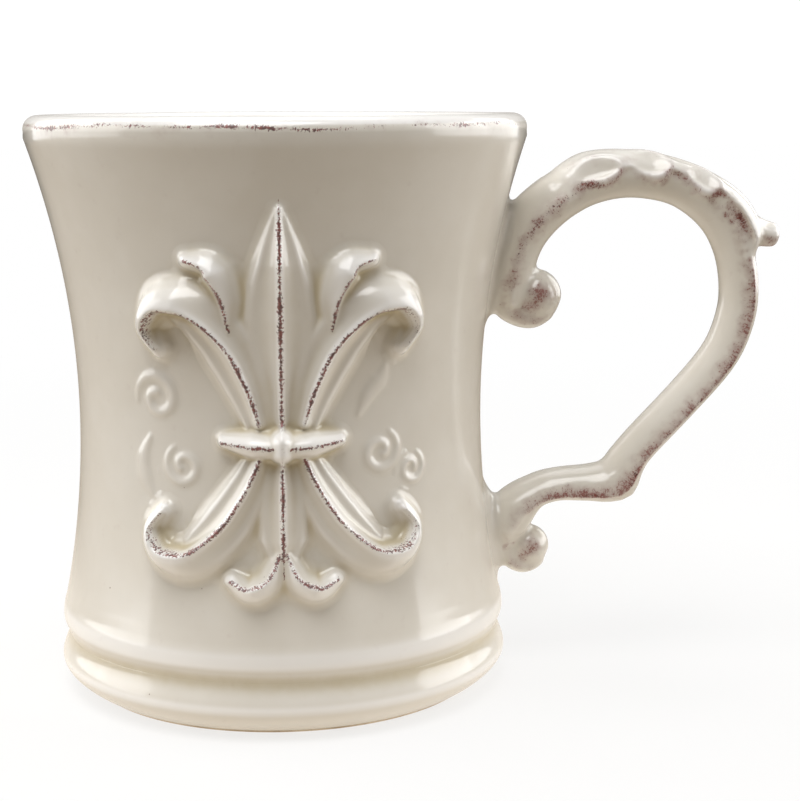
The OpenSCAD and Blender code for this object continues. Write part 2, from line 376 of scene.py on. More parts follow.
def turned(name: str, outline: Guide, steps: int) -> bpy.types.Object:
    """Turns a piece on the wheel: its outline is drawn point by point and spun round the cup's axis.

    Args:
        name: The piece's name.
        outline: Points as [radius, level], in millimetres.
        steps: How many faces go round.

    Returns:
        The closed piece.
    """
    clear_selection()
    first = outline[0]
    bpy.ops.mesh.primitive_circle_add(vertices=3, radius=MM, location=(first[0] * MM, 0, first[1] * MM))
    piece = new_piece(name)
    bpy.ops.object.mode_set(mode="EDIT")
    bpy.ops.mesh.select_all(action="SELECT")
    bpy.ops.mesh.merge(type="CENTER")
    for here, there in zip(outline, outline[1:]):
        step = ((there[0] - here[0]) * MM, 0, (there[1] - here[1]) * MM)
        bpy.ops.mesh.extrude_region_move(TRANSFORM_OT_translate={"value": step})
    bpy.ops.mesh.select_all(action="SELECT")
    bpy.ops.mesh.spin(steps=steps, angle=TAU, center=(0, 0, 0), axis=(0, 0, 1))
    bpy.ops.mesh.select_all(action="SELECT")
    bpy.ops.mesh.remove_doubles(threshold=0.002 * MM)
    bpy.ops.object.mode_set(mode="OBJECT")
    finish_surface(piece)
    return piece


def pulled(name: str, rings: int, sides: int) -> tuple[bpy.types.Object, Array, Array, Array]:
    """Pulls a plain rod with rings along it, ready to be shaped.

    Args:
        name: The piece's name.
        rings: How many rings it has.
        sides: How many faces go round.

    Returns:
        The piece, then how far along it each vertex lies, 0 to 1, its angle round the rod, and whether
        it is on the rod's skin and not in the middle of an end.
    """
    clear_selection()
    bpy.ops.mesh.primitive_cylinder_add(vertices=sides, radius=MM, depth=MM, end_fill_type="TRIFAN")
    piece = new_piece(name)
    bpy.ops.object.mode_set(mode="EDIT")
    bpy.ops.mesh.select_mode(type="EDGE")
    bpy.ops.mesh.select_all(action="DESELECT")
    bpy.ops.object.mode_set(mode="OBJECT")
    level = points_of(piece)[:, 2]
    for edge in piece.data.edges:
        a, b = edge.vertices
        edge.select = abs(level[a] - level[b]) > 0.5
    bpy.ops.object.mode_set(mode="EDIT")
    bpy.ops.mesh.subdivide(number_cuts=rings - 2)
    bpy.ops.object.mode_set(mode="OBJECT")
    rod = points_of(piece)
    skin = np.hypot(rod[:, 0], rod[:, 1]) > 0.5
    return piece, rod[:, 2] + 0.5, np.arctan2(rod[:, 1], rod[:, 0]), skin


def laid_sheet(name: str, keep: Array) -> tuple[bpy.types.Object, Array, Array, Array]:
    """Cuts a sheet to shape from a grid and gives it a back, as a closed skin.

    Args:
        name: The piece's name.
        keep: One truth value for each crossing of the grid, as rows by columns.

    Returns:
        The piece, then each vertex's row and column, and whether it is on the front.
    """
    rows, cols = keep.shape
    clear_selection()
    bpy.ops.mesh.primitive_grid_add(x_subdivisions=cols - 1, y_subdivisions=rows - 1, size=1)
    piece = new_piece(name)
    row, col, _ = crossings(piece, rows, cols)
    trim(piece, keep[row, col])
    bpy.ops.mesh.select_all(action="SELECT")
    bpy.ops.mesh.extrude_region_move(TRANSFORM_OT_translate={"value": (0, 0, 1)})
    bpy.ops.object.mode_set(mode="OBJECT")
    return piece, *crossings(piece, rows, cols)


def crossings(piece: bpy.types.Object, rows: int, cols: int) -> tuple[Array, Array, Array]:
    """Finds which crossing of a flat grid each vertex is.

    Args:
        piece: The grid, or its front and back.
        rows: How many rows it has.
        cols: How many columns it has.

    Returns:
        The rows and columns, and which vertices are on the front.
    """
    flat = points_of(piece) * MM
    col = np.rint((flat[:, 0] + 0.5) * (cols - 1)).astype(int)
    row = np.rint((flat[:, 1] + 0.5) * (rows - 1)).astype(int)
    return row, col, flat[:, 2] > 0.5


def trim(piece: bpy.types.Object, keep: Array) -> None:
    """Cuts a sheet down to the vertices to keep, and ends in edit mode.

    Args:
        piece: The sheet.
        keep: One truth value for each vertex.
    """
    pick(piece, ~keep)
    bpy.ops.mesh.delete(type="VERT")
    bpy.ops.object.mode_set(mode="OBJECT")
    pick(piece, lonely(piece))
    bpy.ops.mesh.delete(type="VERT")


def lonely(piece: bpy.types.Object) -> Array:
    """Finds the vertices that no face uses.

    Args:
        piece: The piece.

    Returns:
        One truth value for each vertex.
    """
    corners = np.empty(len(piece.data.loops), np.int32)
    piece.data.loops.foreach_get("vertex_index", corners)
    return np.bincount(corners, minlength=len(piece.data.vertices)) == 0


def grid_normals(points: Array) -> Array:
    """The outward normals of a grid of points, whose columns run right and rows run up.

    Args:
        points: The points, as rows by columns.

    Returns:
        A unit normal for each point.
    """
    across = np.gradient(points, axis=1)
    up = np.gradient(points, axis=0)
    n = np.cross(across, up)
    return n / np.maximum(np.linalg.norm(n, axis=-1, keepdims=True), 1e-9)


def shade_as(piece: bpy.types.Object, normals: Array) -> None:
    """Shades the piece by the given vertex normals.

    Args:
        piece: The piece.
        normals: A unit normal for each vertex.
    """
    bpy.context.view_layer.objects.active = piece
    piece.select_set(True)
    bpy.ops.object.shade_smooth()
    piece.data.normals_split_custom_set_from_vertices(normals.tolist())
    clear_selection()


# ---- finishes ----


class Desk:
    """Lays out the nodes of one material, or of the world."""

    def __init__(self, owner: bpy.types.Material | bpy.types.World) -> None:
        """Starts with an empty node tree.

        Args:
            owner: What the nodes belong to.
        """
        self.owner = owner
        owner.use_nodes = True
        self.tree = owner.node_tree
        self.tree.nodes.clear()

    @cached_property
    def spot(self) -> bpy.types.NodeSocket:
        """Where a point lies on the object."""
        return self.add("ShaderNodeTexCoord").outputs["Object"]

    def add(self, kind: str, **values: object) -> bpy.types.Node:
        """Adds a node and sets its properties.

        Args:
            kind: The node's type.
            **values: Property names and values.

        Returns:
            The node.
        """
        node = self.tree.nodes.new(kind)
        for key, value in values.items():
            setattr(node, key, value)
        return node

    def feed(self, node: bpy.types.Node, socket: str | int, value: object) -> None:
        """Sets a socket, or links another node's output to it."""
        target = node.inputs[socket]
        if isinstance(value, bpy.types.NodeSocket):
            self.tree.links.new(value, target)
        else:
            target.default_value = value

    def shader(self, kind: str, sockets: dict[str | int, object]) -> bpy.types.NodeSocket:
        """Adds a shader.

        Args:
            kind: The node's type.
            sockets: What goes into its sockets.

        Returns:
            Its output.
        """
        node = self.add(kind)
        for socket, value in sockets.items():
            self.feed(node, socket, value)
        return node.outputs[0]

    def end(self, surface: object, kind: str = "ShaderNodeOutputMaterial") -> None:
        """Ends the tree in what the surface shows."""
        self.feed(self.add(kind), "Surface", surface)

    def noise(self, size: float, detail: float, rough: float) -> bpy.types.NodeSocket:
        """A cloudy pattern.

        Args:
            size: How far apart its clouds lie, in millimetres.
            detail: How many finer layers it has.
            rough: How strong those are.

        Returns:
            Its value, about 0 to 1.
        """
        node = self.add("ShaderNodeTexNoise", noise_dimensions="3D")
        self.feed(node, "Vector", self.spot)
        self.feed(node, "Scale", 1 / (size * MM))
        self.feed(node, "Detail", detail)
        self.feed(node, "Roughness", rough)
        return node.outputs["Fac"]

    def specks(self, size: float, radius: float) -> bpy.types.NodeSocket:
        """Sparse round specks.

        Args:
            size: The cell that each speck lies in, in millimetres.
            radius: The speck's radius as a share of the cell.

        Returns:
            1 in a speck and 0 elsewhere.
        """
        node = self.add("ShaderNodeTexVoronoi", feature="F1")
        self.feed(node, "Vector", self.spot)
        self.feed(node, "Scale", 1 / (size * MM))
        return self.span(node.outputs["Distance"], radius, radius * 0.55)

    def value(self, name: str) -> bpy.types.NodeSocket:
        """Reads a number that the mesh carries."""
        return self.add("ShaderNodeAttribute", attribute_name=name).outputs["Fac"]

    def reckon(self, op: str, a: object, b: object) -> bpy.types.NodeSocket:
        """Works out two values by the named operation.

        Args:
            op: The operation.
            a: The first value.
            b: The second value.

        Returns:
            The outcome.
        """
        node = self.add("ShaderNodeMath", operation=op)
        self.feed(node, 0, a)
        self.feed(node, 1, b)
        return node.outputs[0]

    def plus(self, a: object, b: object) -> bpy.types.NodeSocket:
        """Adds two values."""
        return self.reckon("ADD", a, b)

    def times(self, a: object, b: object) -> bpy.types.NodeSocket:
        """Multiplies two values."""
        return self.reckon("MULTIPLY", a, b)

    def centred(self, value: object, middle: float = 0.5) -> bpy.types.NodeSocket:
        """Takes a pattern's middle off it, so that it swings round 0."""
        return self.reckon("SUBTRACT", value, middle)

    def span(self, value: object, low: float, high: float, out: float = 1.0) -> bpy.types.NodeSocket:
        """Eases from 0 at low to out at high.

        Args:
            value: What is read.
            low: Where it starts.
            high: Where it ends.
            out: What it reaches.

        Returns:
            The eased value.
        """
        node = self.add("ShaderNodeMapRange", interpolation_type="SMOOTHSTEP")
        self.feed(node, "Value", value)
        self.feed(node, "From Min", low)
        self.feed(node, "From Max", high)
        self.feed(node, "To Max", out)
        return node.outputs["Result"]

    def blend(self, share: object, under: object, over: object) -> bpy.types.NodeSocket:
        """Lays one colour over another.

        Args:
            share: How much the upper one covers, 0 to 1.
            under: The lower colour.
            over: The upper colour.

        Returns:
            The colour that shows.
        """
        node = self.add("ShaderNodeMix", data_type="RGBA")
        self.feed(node, 0, share)
        self.feed(node, 6, under)
        self.feed(node, 7, over)
        return node.outputs[2]

    def bump(self, height: object, depth: float, under: object = None) -> bpy.types.NodeSocket:
        """Raises the surface by a pattern.

        Args:
            height: The pattern.
            depth: How high it stands, in millimetres.
            under: Another bump that it lies on.

        Returns:
            The bent normal.
        """
        node = self.add("ShaderNodeBump")
        self.feed(node, "Distance", depth * MM)
        self.feed(node, "Height", height)
        if under is not None:
            self.feed(node, "Normal", under)
        return node.outputs["Normal"]


def paint(red: float, green: float, blue: float) -> tuple[float, float, float, float]:
    """A colour as the eye names it, 0 to 255, turned into light."""
    light = [((c / 255 + 0.055) / 1.055) ** 2.4 if c > 10 else c / 255 / 12.92 for c in (red, green, blue)]
    return (*light, 1.0)


@dataclass(frozen=True)
class Glaze:
    """A glossy ivory glaze with a rubbed iron stain: darker in hollows as pooled glaze and painted shade,
    whiter on edges as thin glaze and painted highlight.
    """

    name: str
    body: Colour = (231, 226, 216)
    clouds: Colour = (238, 234, 226)
    # pooled glaze colour that also serves as painted shade
    pooled_and_shaded: Colour = (205, 192, 160)
    # thin glaze colour that also serves as painted highlight
    thin_and_highlit: Colour = (252, 250, 247)
    stain: Colour = (128, 46, 38)
    dark_stain: Colour = (76, 20, 20)
    wash: Colour = (158, 122, 116)
    speck: Colour = (120, 86, 66)
    roughness: float = 0.17
    coat: float = 0.5
    coat_roughness: float = 0.08
    ior: float = 1.5
    ripple: float = 0.14
    orange_peel: float = 0.005

    def body_colour(self, d: Desk) -> bpy.types.NodeSocket:
        """The glaze itself: cloudy, khaki where it pools and shade is painted, whiter where it thins and
        highlights are painted.

        Args:
            d: The material's desk.

        Returns:
            The colour.
        """
        pool = d.value("pool")
        unevenness = d.times(d.centred(d.noise(2.6, 3, 0.6)), 0.16)
        cloudy = d.span(d.noise(14, 3, 0.55), 0.35, 0.7, 0.6)
        colour = d.blend(cloudy, paint(*self.body), paint(*self.clouds))
        # painted shade: khaki where the mark is above 0, in hollows, partly pooled glaze
        colour = d.blend(d.span(d.plus(pool, unevenness), 0.03, 0.75, 0.95), colour, paint(*self.pooled_and_shaded))
        # painted highlight: whiter where the mark is below 0, on edges, partly thin glaze
        return d.blend(d.span(d.times(pool, -1), 0.05, 0.6, 0.9), colour, paint(*self.thin_and_highlit))

    def brushed(self, d: Desk, mark: str, hairs: float, grains: float, size: float) -> bpy.types.NodeSocket:
        """How much stain a rubbed brush leaves: ragged hairs across the edge, and grains.

        Args:
            d: The material's desk.
            mark: The number on the mesh that says where the brush went.
            hairs: How strong the hairs are.
            grains: How strong the grains are.
            size: The size of the grains, in millimetres.

        Returns:
            The stain, higher where there is more.
        """
        run = d.add("ShaderNodeTexNoise", noise_dimensions="1D")
        d.feed(run, "W", d.value("run"))
        d.feed(run, "Scale", 2.6)
        d.feed(run, "Detail", 3.0)
        d.feed(run, "Roughness", 0.75)
        hair = d.times(d.centred(run.outputs["Fac"]), hairs)
        grain = d.times(d.centred(d.noise(size, 4, 0.7)), grains)
        return d.plus(d.value(mark), d.plus(hair, grain))

    def material(self) -> bpy.types.Material:
        """Builds the glaze."""
        d = Desk(bpy.data.materials.new(self.name))
        colour = self.body_colour(d)
        drift = d.noise(2.8, 2, 0.6)
        film = d.span(d.plus(d.value("wash"), d.centred(drift)), 0.12, 0.95, 0.7)
        colour = d.blend(film, colour, paint(*self.wash))
        dust = d.plus(self.brushed(d, "wash", 0.9, 2.0, 0.42), d.centred(drift))
        colour = d.blend(d.span(dust, 0.62, 0.95, 0.7), colour, paint(*self.stain))
        patches = d.times(d.centred(d.noise(4.2, 2, 0.6), 0.54), 0.9)
        line = d.span(d.plus(self.brushed(d, "line", 0.5, 1.8, 0.4), patches), 0.66, 0.84, 0.92)
        tone = d.blend(d.span(d.noise(0.7, 3, 0.7), 0.42, 0.58), paint(*self.stain), paint(*self.dark_stain))
        colour = d.blend(line, colour, tone)
        colour = d.blend(d.times(d.specks(9, 0.022), 0.7), colour, paint(*self.speck))
        drag = d.plus(d.span(drift, 0.2, 0.8, 0.05), self.roughness)
        waves = d.bump(d.noise(11, 2, 0.5), self.ripple)
        surface = {
            "Base Color": colour,
            "Roughness": d.plus(d.times(line, 0.2), drag),
            "IOR": self.ior,
            "Coat Weight": self.coat,
            "Coat Roughness": self.coat_roughness,
            "Normal": d.bump(d.noise(1.3, 2, 0.5), self.orange_peel, waves),
        }
        d.end(d.shader("ShaderNodeBsdfPrincipled", surface))
        return d.owner


@dataclass(frozen=True)
class BareClay:
    """Unglazed, sanded clay with grog in it."""

    name: str
    body: Colour = (222, 204, 178)
    worn: Colour = (190, 166, 136)
    grog: Colour = (150, 124, 98)
    roughness: float = 0.75
    grain: float = 0.08

    def material(self) -> bpy.types.Material:
        """Builds the clay."""
        d = Desk(bpy.data.materials.new(self.name))
        grog = d.noise(0.7, 4, 0.7)
        patches = d.noise(7, 3, 0.6)
        colour = d.blend(d.span(patches, 0.35, 0.7), paint(*self.body), paint(*self.worn))
        surface = {
            "Base Color": d.blend(d.span(grog, 0.58, 0.66, 0.6), colour, paint(*self.grog)),
            "Roughness": d.plus(d.span(grog, 0.3, 0.7, 0.15), self.roughness),
            "Normal": d.bump(grog, self.grain),
        }
        d.end(d.shader("ShaderNodeBsdfPrincipled", surface))
        return d.owner


class Shelf:
    """Holds the finishes and hands each piece over to the frame."""

    def __init__(self) -> None:
        """Mixes the finishes."""
        self.finishes = {
            Slot.IVORY: Glaze(Slot.IVORY.value).material(),
            Slot.STAINED: Glaze(Slot.STAINED.value).material(),
            Slot.CLAY: BareClay(Slot.CLAY.value).material(),
        }

    def deliver(self, piece: bpy.types.Object, slot: Slot, *nodes: str) -> None:
        """Dresses a piece and puts it in place of its solids.

        Args:
            piece: The piece.
            slot: The record's slot that its finish belongs to.
            *nodes: The solids that it stands for.
        """
        piece.data.materials.clear()
        piece.data.materials.append(self.finishes[slot])
        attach(piece, "root")
        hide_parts(*nodes)
        LOG.info("%s: %d faces, %s", piece.name, len(piece.data.polygons), slot.value)


# ---- the cup ----


@dataclass(frozen=True)
class Wall:
    """The waisted wall that the cup, the crest and the slips share. Millimetres."""

    waist_r: float = 38.3
    waist_z: float = 52.0
    flare: float = 314.0
    lower_flare: float = 335.0
    wobble: float = 0.07
    shrink: float = 0.02

    def radius(self, level: Array, turn: Array) -> Array:
        """The wall's outer radius.

        Args:
            level: Height above the table.
            turn: Angle round the cup, 0 at the front.

        Returns:
            The radius, a hair uneven as a cast wall is.
        """
        return self.even_radius(level) - self.unevenness(level, turn)

    def even_radius(self, level: Array | float) -> Array:
        """The wall's true radius at a level."""
        bend = np.where(level > self.waist_z, self.flare, self.lower_flare)
        return self.waist_r + (level - self.waist_z) ** 2 / bend

    def unevenness(self, level: Array, turn: Array) -> Array:
        """How far the cast wall falls short of its true radius.

        Args:
            level: Height above the table.
            turn: Angle round the cup, 0 at the front.

        Returns:
            The shortfall.
        """
        wave = np.sin(2 * turn + 1.3)
        wave = wave + 0.6 * np.sin(3 * turn + level / 31) + 0.5 * np.sin(5 * turn - level / 17)
        return self.wobble * (1 + wave / 2.1) + self.shrink

    def point(self, u: Array, v: Array, height: Array, facing: Facing) -> Array:
        """A point on the wall.

        Args:
            u: How far round it from the middle of the face.
            v: Level.
            height: How far out from the wall.
            facing: The face.

        Returns:
            The points, with x, y and z in the last axis.
        """
        turn = facing.value + u / self.waist_r
        r = self.radius(v, turn) + height
        return np.stack([r * np.sin(turn), -r * np.cos(turn), v + 0 * r], -1)


@dataclass
class Cup:
    """The cup itself: wall, rounded lip, floor and underside. Millimetres."""

    wall: Wall
    height: float
    wall_t: float = 4.5
    lip_r: float = 2.6
    floor_z: float = 8.0
    heel_r: float = 9.0
    under_z: float = 3.2
    inner_base_r: float = 39.3
    skirt_z: float = 15.5
    sag: float = 0.12
    sag_zone: float = 9.0
    lip_wash: float = 0.34
    steps: int = 256

    def even_radius(self, level: float) -> float:
        """The true radius of the wall at a level."""
        return float(self.wall.even_radius(level))

    def outline(self) -> list[tuple[float, float]]:
        """Draws the section from the middle of the underside up the wall, over the lip and down inside."""
        rim_z = self.height - self.lip_r
        start = rim_z - self.lip_r * 0.6
        lip_c = self.even_radius(start) - self.lip_r
        heel_z = self.floor_z + self.heel_r
        heel_c = self.even_radius(heel_z) - self.wall_t - self.heel_r
        under = [(r, self.under_z + 0.5 * (1 - (r / self.inner_base_r) ** 2)) for r in (0, 8, 18, 28, 34)]
        points = [*under, (self.inner_base_r, self.under_z), (self.inner_base_r, self.skirt_z)]
        for z in np.linspace(self.skirt_z, start, 64):
            points.append((self.even_radius(z), z))
        for a in np.radians(np.linspace(-8, 166, 30)):
            points.append((lip_c + self.lip_r * math.cos(a), rim_z + self.lip_r * math.sin(a)))
        for z in np.linspace(rim_z - self.lip_r, heel_z, 40):
            points.append((self.even_radius(z) - self.wall_t, z))
        for a in np.radians(np.linspace(-12, -90, 14)):
            points.append((heel_c + self.heel_r * math.cos(a), heel_z + self.heel_r * math.sin(a)))
        floor = [(r, self.floor_z + 0.12 * math.cos(r / heel_c * math.pi)) for r in (24, 18, 12, 6)]
        return points + floor + [(0, self.floor_z + 0.12)]

    def build(self, relief: "WorkedRelief") -> bpy.types.Object:
        """Turns the cup, then lets the wall and the lip waver as cast clay does.

        Args:
            relief: The relief on its front, round which the glaze pools and shade is painted.

        Returns:
            The cup.
        """
        piece = turned("cup", self.outline(), self.steps)
        p = points_of(piece)
        turn, r = round_the_cup(p)
        outer = ease((p[:, 2] - self.skirt_z + 1) / 1) * ease((r - 30) / 4)
        slack = self.wall.unevenness(p[:, 2], turn) * outer
        lip = ease((p[:, 2] - self.height + self.sag_zone) / self.sag_zone)
        wave = 1 + 0.5 * np.sin(3 * turn + 0.5) + 0.3 * np.sin(7 * turn) + 0.2 * np.sin(13 * turn + 2)
        sag = self.sag * lip * wave
        share = (r - slack) / np.maximum(r, 1e-6)
        place_points(piece, np.column_stack([p[:, 0] * share, p[:, 1] * share, p[:, 2] - sag * 0.5]))
        self.mark(piece, relief)
        return piece

    def mark(self, piece: bpy.types.Object, relief: "WorkedRelief") -> None:
        """Marks where the glaze pools and shade is painted, where the lip is stained, and the lip's top
        whitened with painted highlight.

        Args:
            piece: The cup.
            relief: The relief on its front.
        """
        p = points_of(piece)
        turn, r = round_the_cup(p)
        rim_z = self.height - self.lip_r
        edge_z = rim_z + self.lip_r * 0.3
        outside = r > self.even_radius(rim_z) - self.lip_r
        off = np.abs(p[:, 2] - edge_z + 0.25 * np.sin(5 * turn + 1) + 0.2 * np.sin(11 * turn))
        patchy = 0.78 - 0.18 * np.sin(turn) + 0.08 * np.sin(2 * turn + 0.8) + 0.12 * np.sin(7 * turn + 2)
        line = np.where(outside, np.clip(1 - off / 1.1, 0, 1) * patchy, 0)
        wash = np.where(outside, np.clip(1 - off / 2.0, 0, 1) * patchy * self.lip_wash, 0)
        brush(piece, line, wash, turn * 47)
        # painted shade: khaki inside, towards the cup's floor, partly pooled glaze
        low = ease((26 - p[:, 2]) / 12) * (r < self.even_radius(20) - self.wall_t + 0.3)
        # painted highlight: the lip's top above the stain is whiter, partly thin glaze
        thin_and_highlit = -0.8 * ease((p[:, 2] - edge_z) / 0.8)
        # painted shade round the relief's foot, partly pooled glaze, read from the relief
        halo = relief.pool_shade_highlight_at(turn * self.wall.waist_r, p[:, 2]) * (r > self.wall.waist_r - 1)
        set_values(piece, "pool", np.where(p[:, 2] > rim_z - 2, thin_and_highlit, low * 0.4 + halo))


@dataclass
class Mouldings:
    """The bead, the cove, the plinth and the foot ring under the cup. Millimetres."""

    cup: Cup
    bead_r: float = 42.5
    bead_z: float = 13.7
    melt_z: float = 20.0
    skin: float = 0.012
    cove_r: float = 41.6
    cove_z: float = 10.6
    plinth_r: float = 42.9
    plinth_z: float = 5.8
    tuck: float = 4.8
    foot_r: float = 37.6
    foot_w: float = 5.0
    foot_step: float = 0.8

    def eased(self, a: tuple[float, float], b: tuple[float, float], n: int) -> list[tuple[float, float]]:
        """An S-shaped edge from one point to another.

        Args:
            a: Where it starts, as radius and level.
            b: Where it would end.
            n: How many points it has.

        Returns:
            The points, without the last.
        """
        points = []
        for i in range(n):
            swing = (1 - math.cos(math.pi * (i / n))) / 2
            points.append((a[0] + (b[0] - a[0]) * swing, a[1] + (b[1] - a[1]) * (i / n)))
        return points

    def bead(self) -> bpy.types.Object:
        """Turns the bead, which rolls out of the wall."""
        c = self.cup
        inner, top = c.inner_base_r - 1, self.melt_z + 1.2
        outline = [(inner, self.cove_z - 0.4), (self.cove_r - 0.3, self.cove_z - 0.4)]
        outline += self.eased((self.cove_r, self.cove_z), (self.bead_r, self.bead_z), 16)
        for z in np.linspace(self.bead_z, top, 34):
            wall_share = float(ease((z - self.bead_z) / (self.melt_z - 2.5 - self.bead_z)))
            wall_r = c.even_radius(z) + self.skin * (1 - max(z - self.melt_z + 1.2, 0))
            outline.append((wall_share * wall_r + (1 - wall_share) * self.bead_r, z))
        outline += [(inner, top), (inner, self.cove_z - 0.4)]
        piece = turned("base_bead", outline, c.steps)
        p = points_of(piece)
        turn, r = round_the_cup(p)
        slack = c.wall.unevenness(p[:, 2], turn) * ease((p[:, 2] - self.bead_z) / 1.5)
        share = 1 - slack * (r > inner + 1) / r
        place_points(piece, p * np.column_stack([share, share, np.ones(len(p))]))
        return self.marked(piece)

    def plinth(self) -> bpy.types.Object:
        """Turns the plinth and the cove above it."""
        c, n = self.cup, 20
        inner, heel, under = c.inner_base_r - 1, self.foot_r - 1, c.under_z + 0.6
        outline = [(heel, self.foot_step)]
        for t in np.arange(n) / n:
            z = self.foot_step + (self.plinth_z - self.foot_step) * t
            outline.append((self.plinth_r - self.tuck * (1 - t) ** 1.8, z))
        outline += self.eased((self.plinth_r, self.plinth_z), (self.cove_r, self.cove_z), n)
        outline += [(self.cove_r, self.cove_z), (self.cove_r - 0.4, self.cove_z + 0.5)]
        outline += [(inner, self.cove_z + 0.5), (inner, under), (heel, under), (heel, self.foot_step)]
        return self.marked(turned("plinth", outline, c.steps))

    def foot(self) -> bpy.types.Object:
        """Turns the bare ring that the mug stands on."""
        inner, outer, step = self.foot_r - self.foot_w, self.foot_r, self.foot_step
        top = self.cup.under_z + 0.8
        outline = [(inner - step, top), (inner - step * 0.7, 2.2), (inner, step)]
        outline += [(inner + step * 0.4, 0.22), (inner + step * 1.3, 0), (outer - step * 1.3, 0)]
        outline += [(outer - step * 0.4, 0.22), (outer, step), (outer, top), (inner - step, top)]
        return turned("foot_ring", outline, 192)

    def marked(self, piece: bpy.types.Object) -> bpy.types.Object:
        """Marks a moulding's painted shade, partly pooled glaze, in the cove and towards the foot, and its
        painted highlight on the bead and the plinth's edge.

        Args:
            piece: The moulding.

        Returns:
            The same piece.
        """
        p = points_of(piece)
        turn, _ = round_the_cup(p)
        # painted shade in the cove under the bead, partly pooled glaze
        cove = hump(p[:, 2] - self.cove_z + 0.3 * np.sin(3 * turn), 2.1) * 0.5
        # painted shade: darker towards the foot
        hem = ease((3.4 - p[:, 2]) / 2.4) * 0.42
        # painted highlight along the bead and the plinth's edge
        edge = -0.6 * hump(p[:, 2] - self.plinth_z, 1.0) - 0.8 * hump(p[:, 2] - self.bead_z - 0.6, 1.8)
        set_values(piece, "pool", cove + hem + edge)
        return piece


# ---- relief on the wall ----


class Section(Enum):
    """How a relief bar falls away from its ridge, as height at even steps out to its edge."""

    BEVEL = (1.0, 0.83, 0.69, 0.58, 0.50, 0.46, 0.455, 0.46, 0.43, 0.32, 0.15)
    DOME = (1.0, 0.99, 0.965, 0.92, 0.86, 0.78, 0.68, 0.56, 0.42, 0.28, 0.15)
    CLIFF = (1.0, 0.70, 0.45, 0.31, 0.25, 0.225, 0.21, 0.20, 0.19, 0.17, 0.15)

    def at(self, x: Array) -> Array:
        """Reads the section at x, 0 on the ridge and 1 at the edge."""
        return along(self.value, np.clip(x, 0, 1))


@dataclass(frozen=True)
class Stroke:
    """One relief bar laid along a path on the wall. Millimetres."""

    guide: Guide
    widths: Sequence[float]
    heights: Sequence[float]
    lean: Sequence[float] = (0.0, 0.0)
    dome: Sequence[float] = (0.0, 0.0)
    foot: float = 1.7
    stain: Sequence[float] = (1.0, 1.0)
    line_reach: float = 0.95

    def mirrored(self) -> "Stroke":
        """The same bar on the other side of the middle."""
        return replace(self, guide=tuple((-u, v) for u, v in self.guide), lean=tuple(-x for x in self.lean))

    def measure(self, u: Array, v: Array) -> tuple[Array, Array, Array]:
        """Measures the bar's height over the wall.

        Args:
            u: How far round the wall each spot lies.
            v: The level of each spot.

        Returns:
            The height at each spot, how near it is to the stained ridge line, 0 to 1, and how far
            along the bar it lies.
        """
        path = smooth_path(self.guide, 10)
        height, line, way = np.zeros(u.shape), np.zeros(u.shape), np.zeros(u.shape)
        reach = max(self.widths) + self.foot + 0.5
        near = (u > path[:, 0].min() - reach) & (u < path[:, 0].max() + reach)
        near &= (v > path[:, 1].min() - reach) & (v < path[:, 1].max() + reach)
        run, dist, side, length = self.nearest(path, np.column_stack([u[near], v[near]]))
        t = run / length
        width, tall = along(self.widths, t), along(self.heights, t)
        lean, dome = along(self.lean, t), along(self.dome, t)
        x, tilt = side * dist / width * np.where(lean < 0, -1, 1), np.abs(lean)
        beyond = np.clip(1 - (dist - width) / self.foot, 0, 1) ** 2
        skirt = Section.DOME.value[-1] * beyond
        height[near] = tall * np.where(dist < width, self.level(x, tilt, dome), skirt)
        line[near] = np.clip(1 - np.abs(x - tilt) * width / self.line_reach, 0, 1) * along(self.stain, t)
        way[near] = t * length
        return height, line, way

    def nearest(self, path: Array, spots: Array) -> tuple[Array, Array, Array, float]:
        """Finds the place on the bar's path that is nearest to each spot.

        Args:
            path: The path's points.
            spots: The spots on the wall.

        Returns:
            How far along the path each spot lies, how far off it and on which side, and the path's length.
        """
        legs = np.diff(path, axis=0)
        steps = np.linalg.norm(legs, axis=1)
        run = np.concatenate([[0], np.cumsum(steps)])
        off = spots[:, None, :] - path[None, :-1]
        share = np.clip((off * legs).sum(-1) / (steps**2), 0, 1)
        gap = off - share[..., None] * legs
        dist = np.hypot(gap[..., 0], gap[..., 1])
        best = dist.argmin(1)
        rows = np.arange(len(spots))
        side = np.sign(legs[best, 0] * off[rows, best, 1] - legs[best, 1] * off[rows, best, 0])
        return run[best] + share[rows, best] * steps[best], dist[rows, best], side, run[-1]

    def level(self, x: Array, tilt: Array, dome: Array) -> Array:
        """The bar's height across it, as a share of its ridge's.

        Args:
            x: How far across the bar, -1 to 1.
            tilt: Where its ridge lies.
            dome: How domed it is.

        Returns:
            The height.
        """
        curl = np.clip(tilt / 0.4, 0, 1)
        inside = x > tilt
        out = np.where(inside, (x - tilt) / (1 - tilt), (tilt - x) / (1 + tilt))
        bent = np.where(inside, Section.CLIFF.at(out), Section.DOME.at(out))
        level = Section.BEVEL.at(out) * (1 - curl) + bent * curl
        return level * (1 - dome) + Section.DOME.at(out) * dome


def merged(a: Array, b: Array, melt: float) -> Array:
    """The higher of two surfaces, with the crease between them filled over the melt distance."""
    soft = np.maximum(melt - np.abs(a - b), 0) / melt
    return np.maximum(a, b) + soft**2 * melt / 4 * (np.minimum(a, b) > 0)


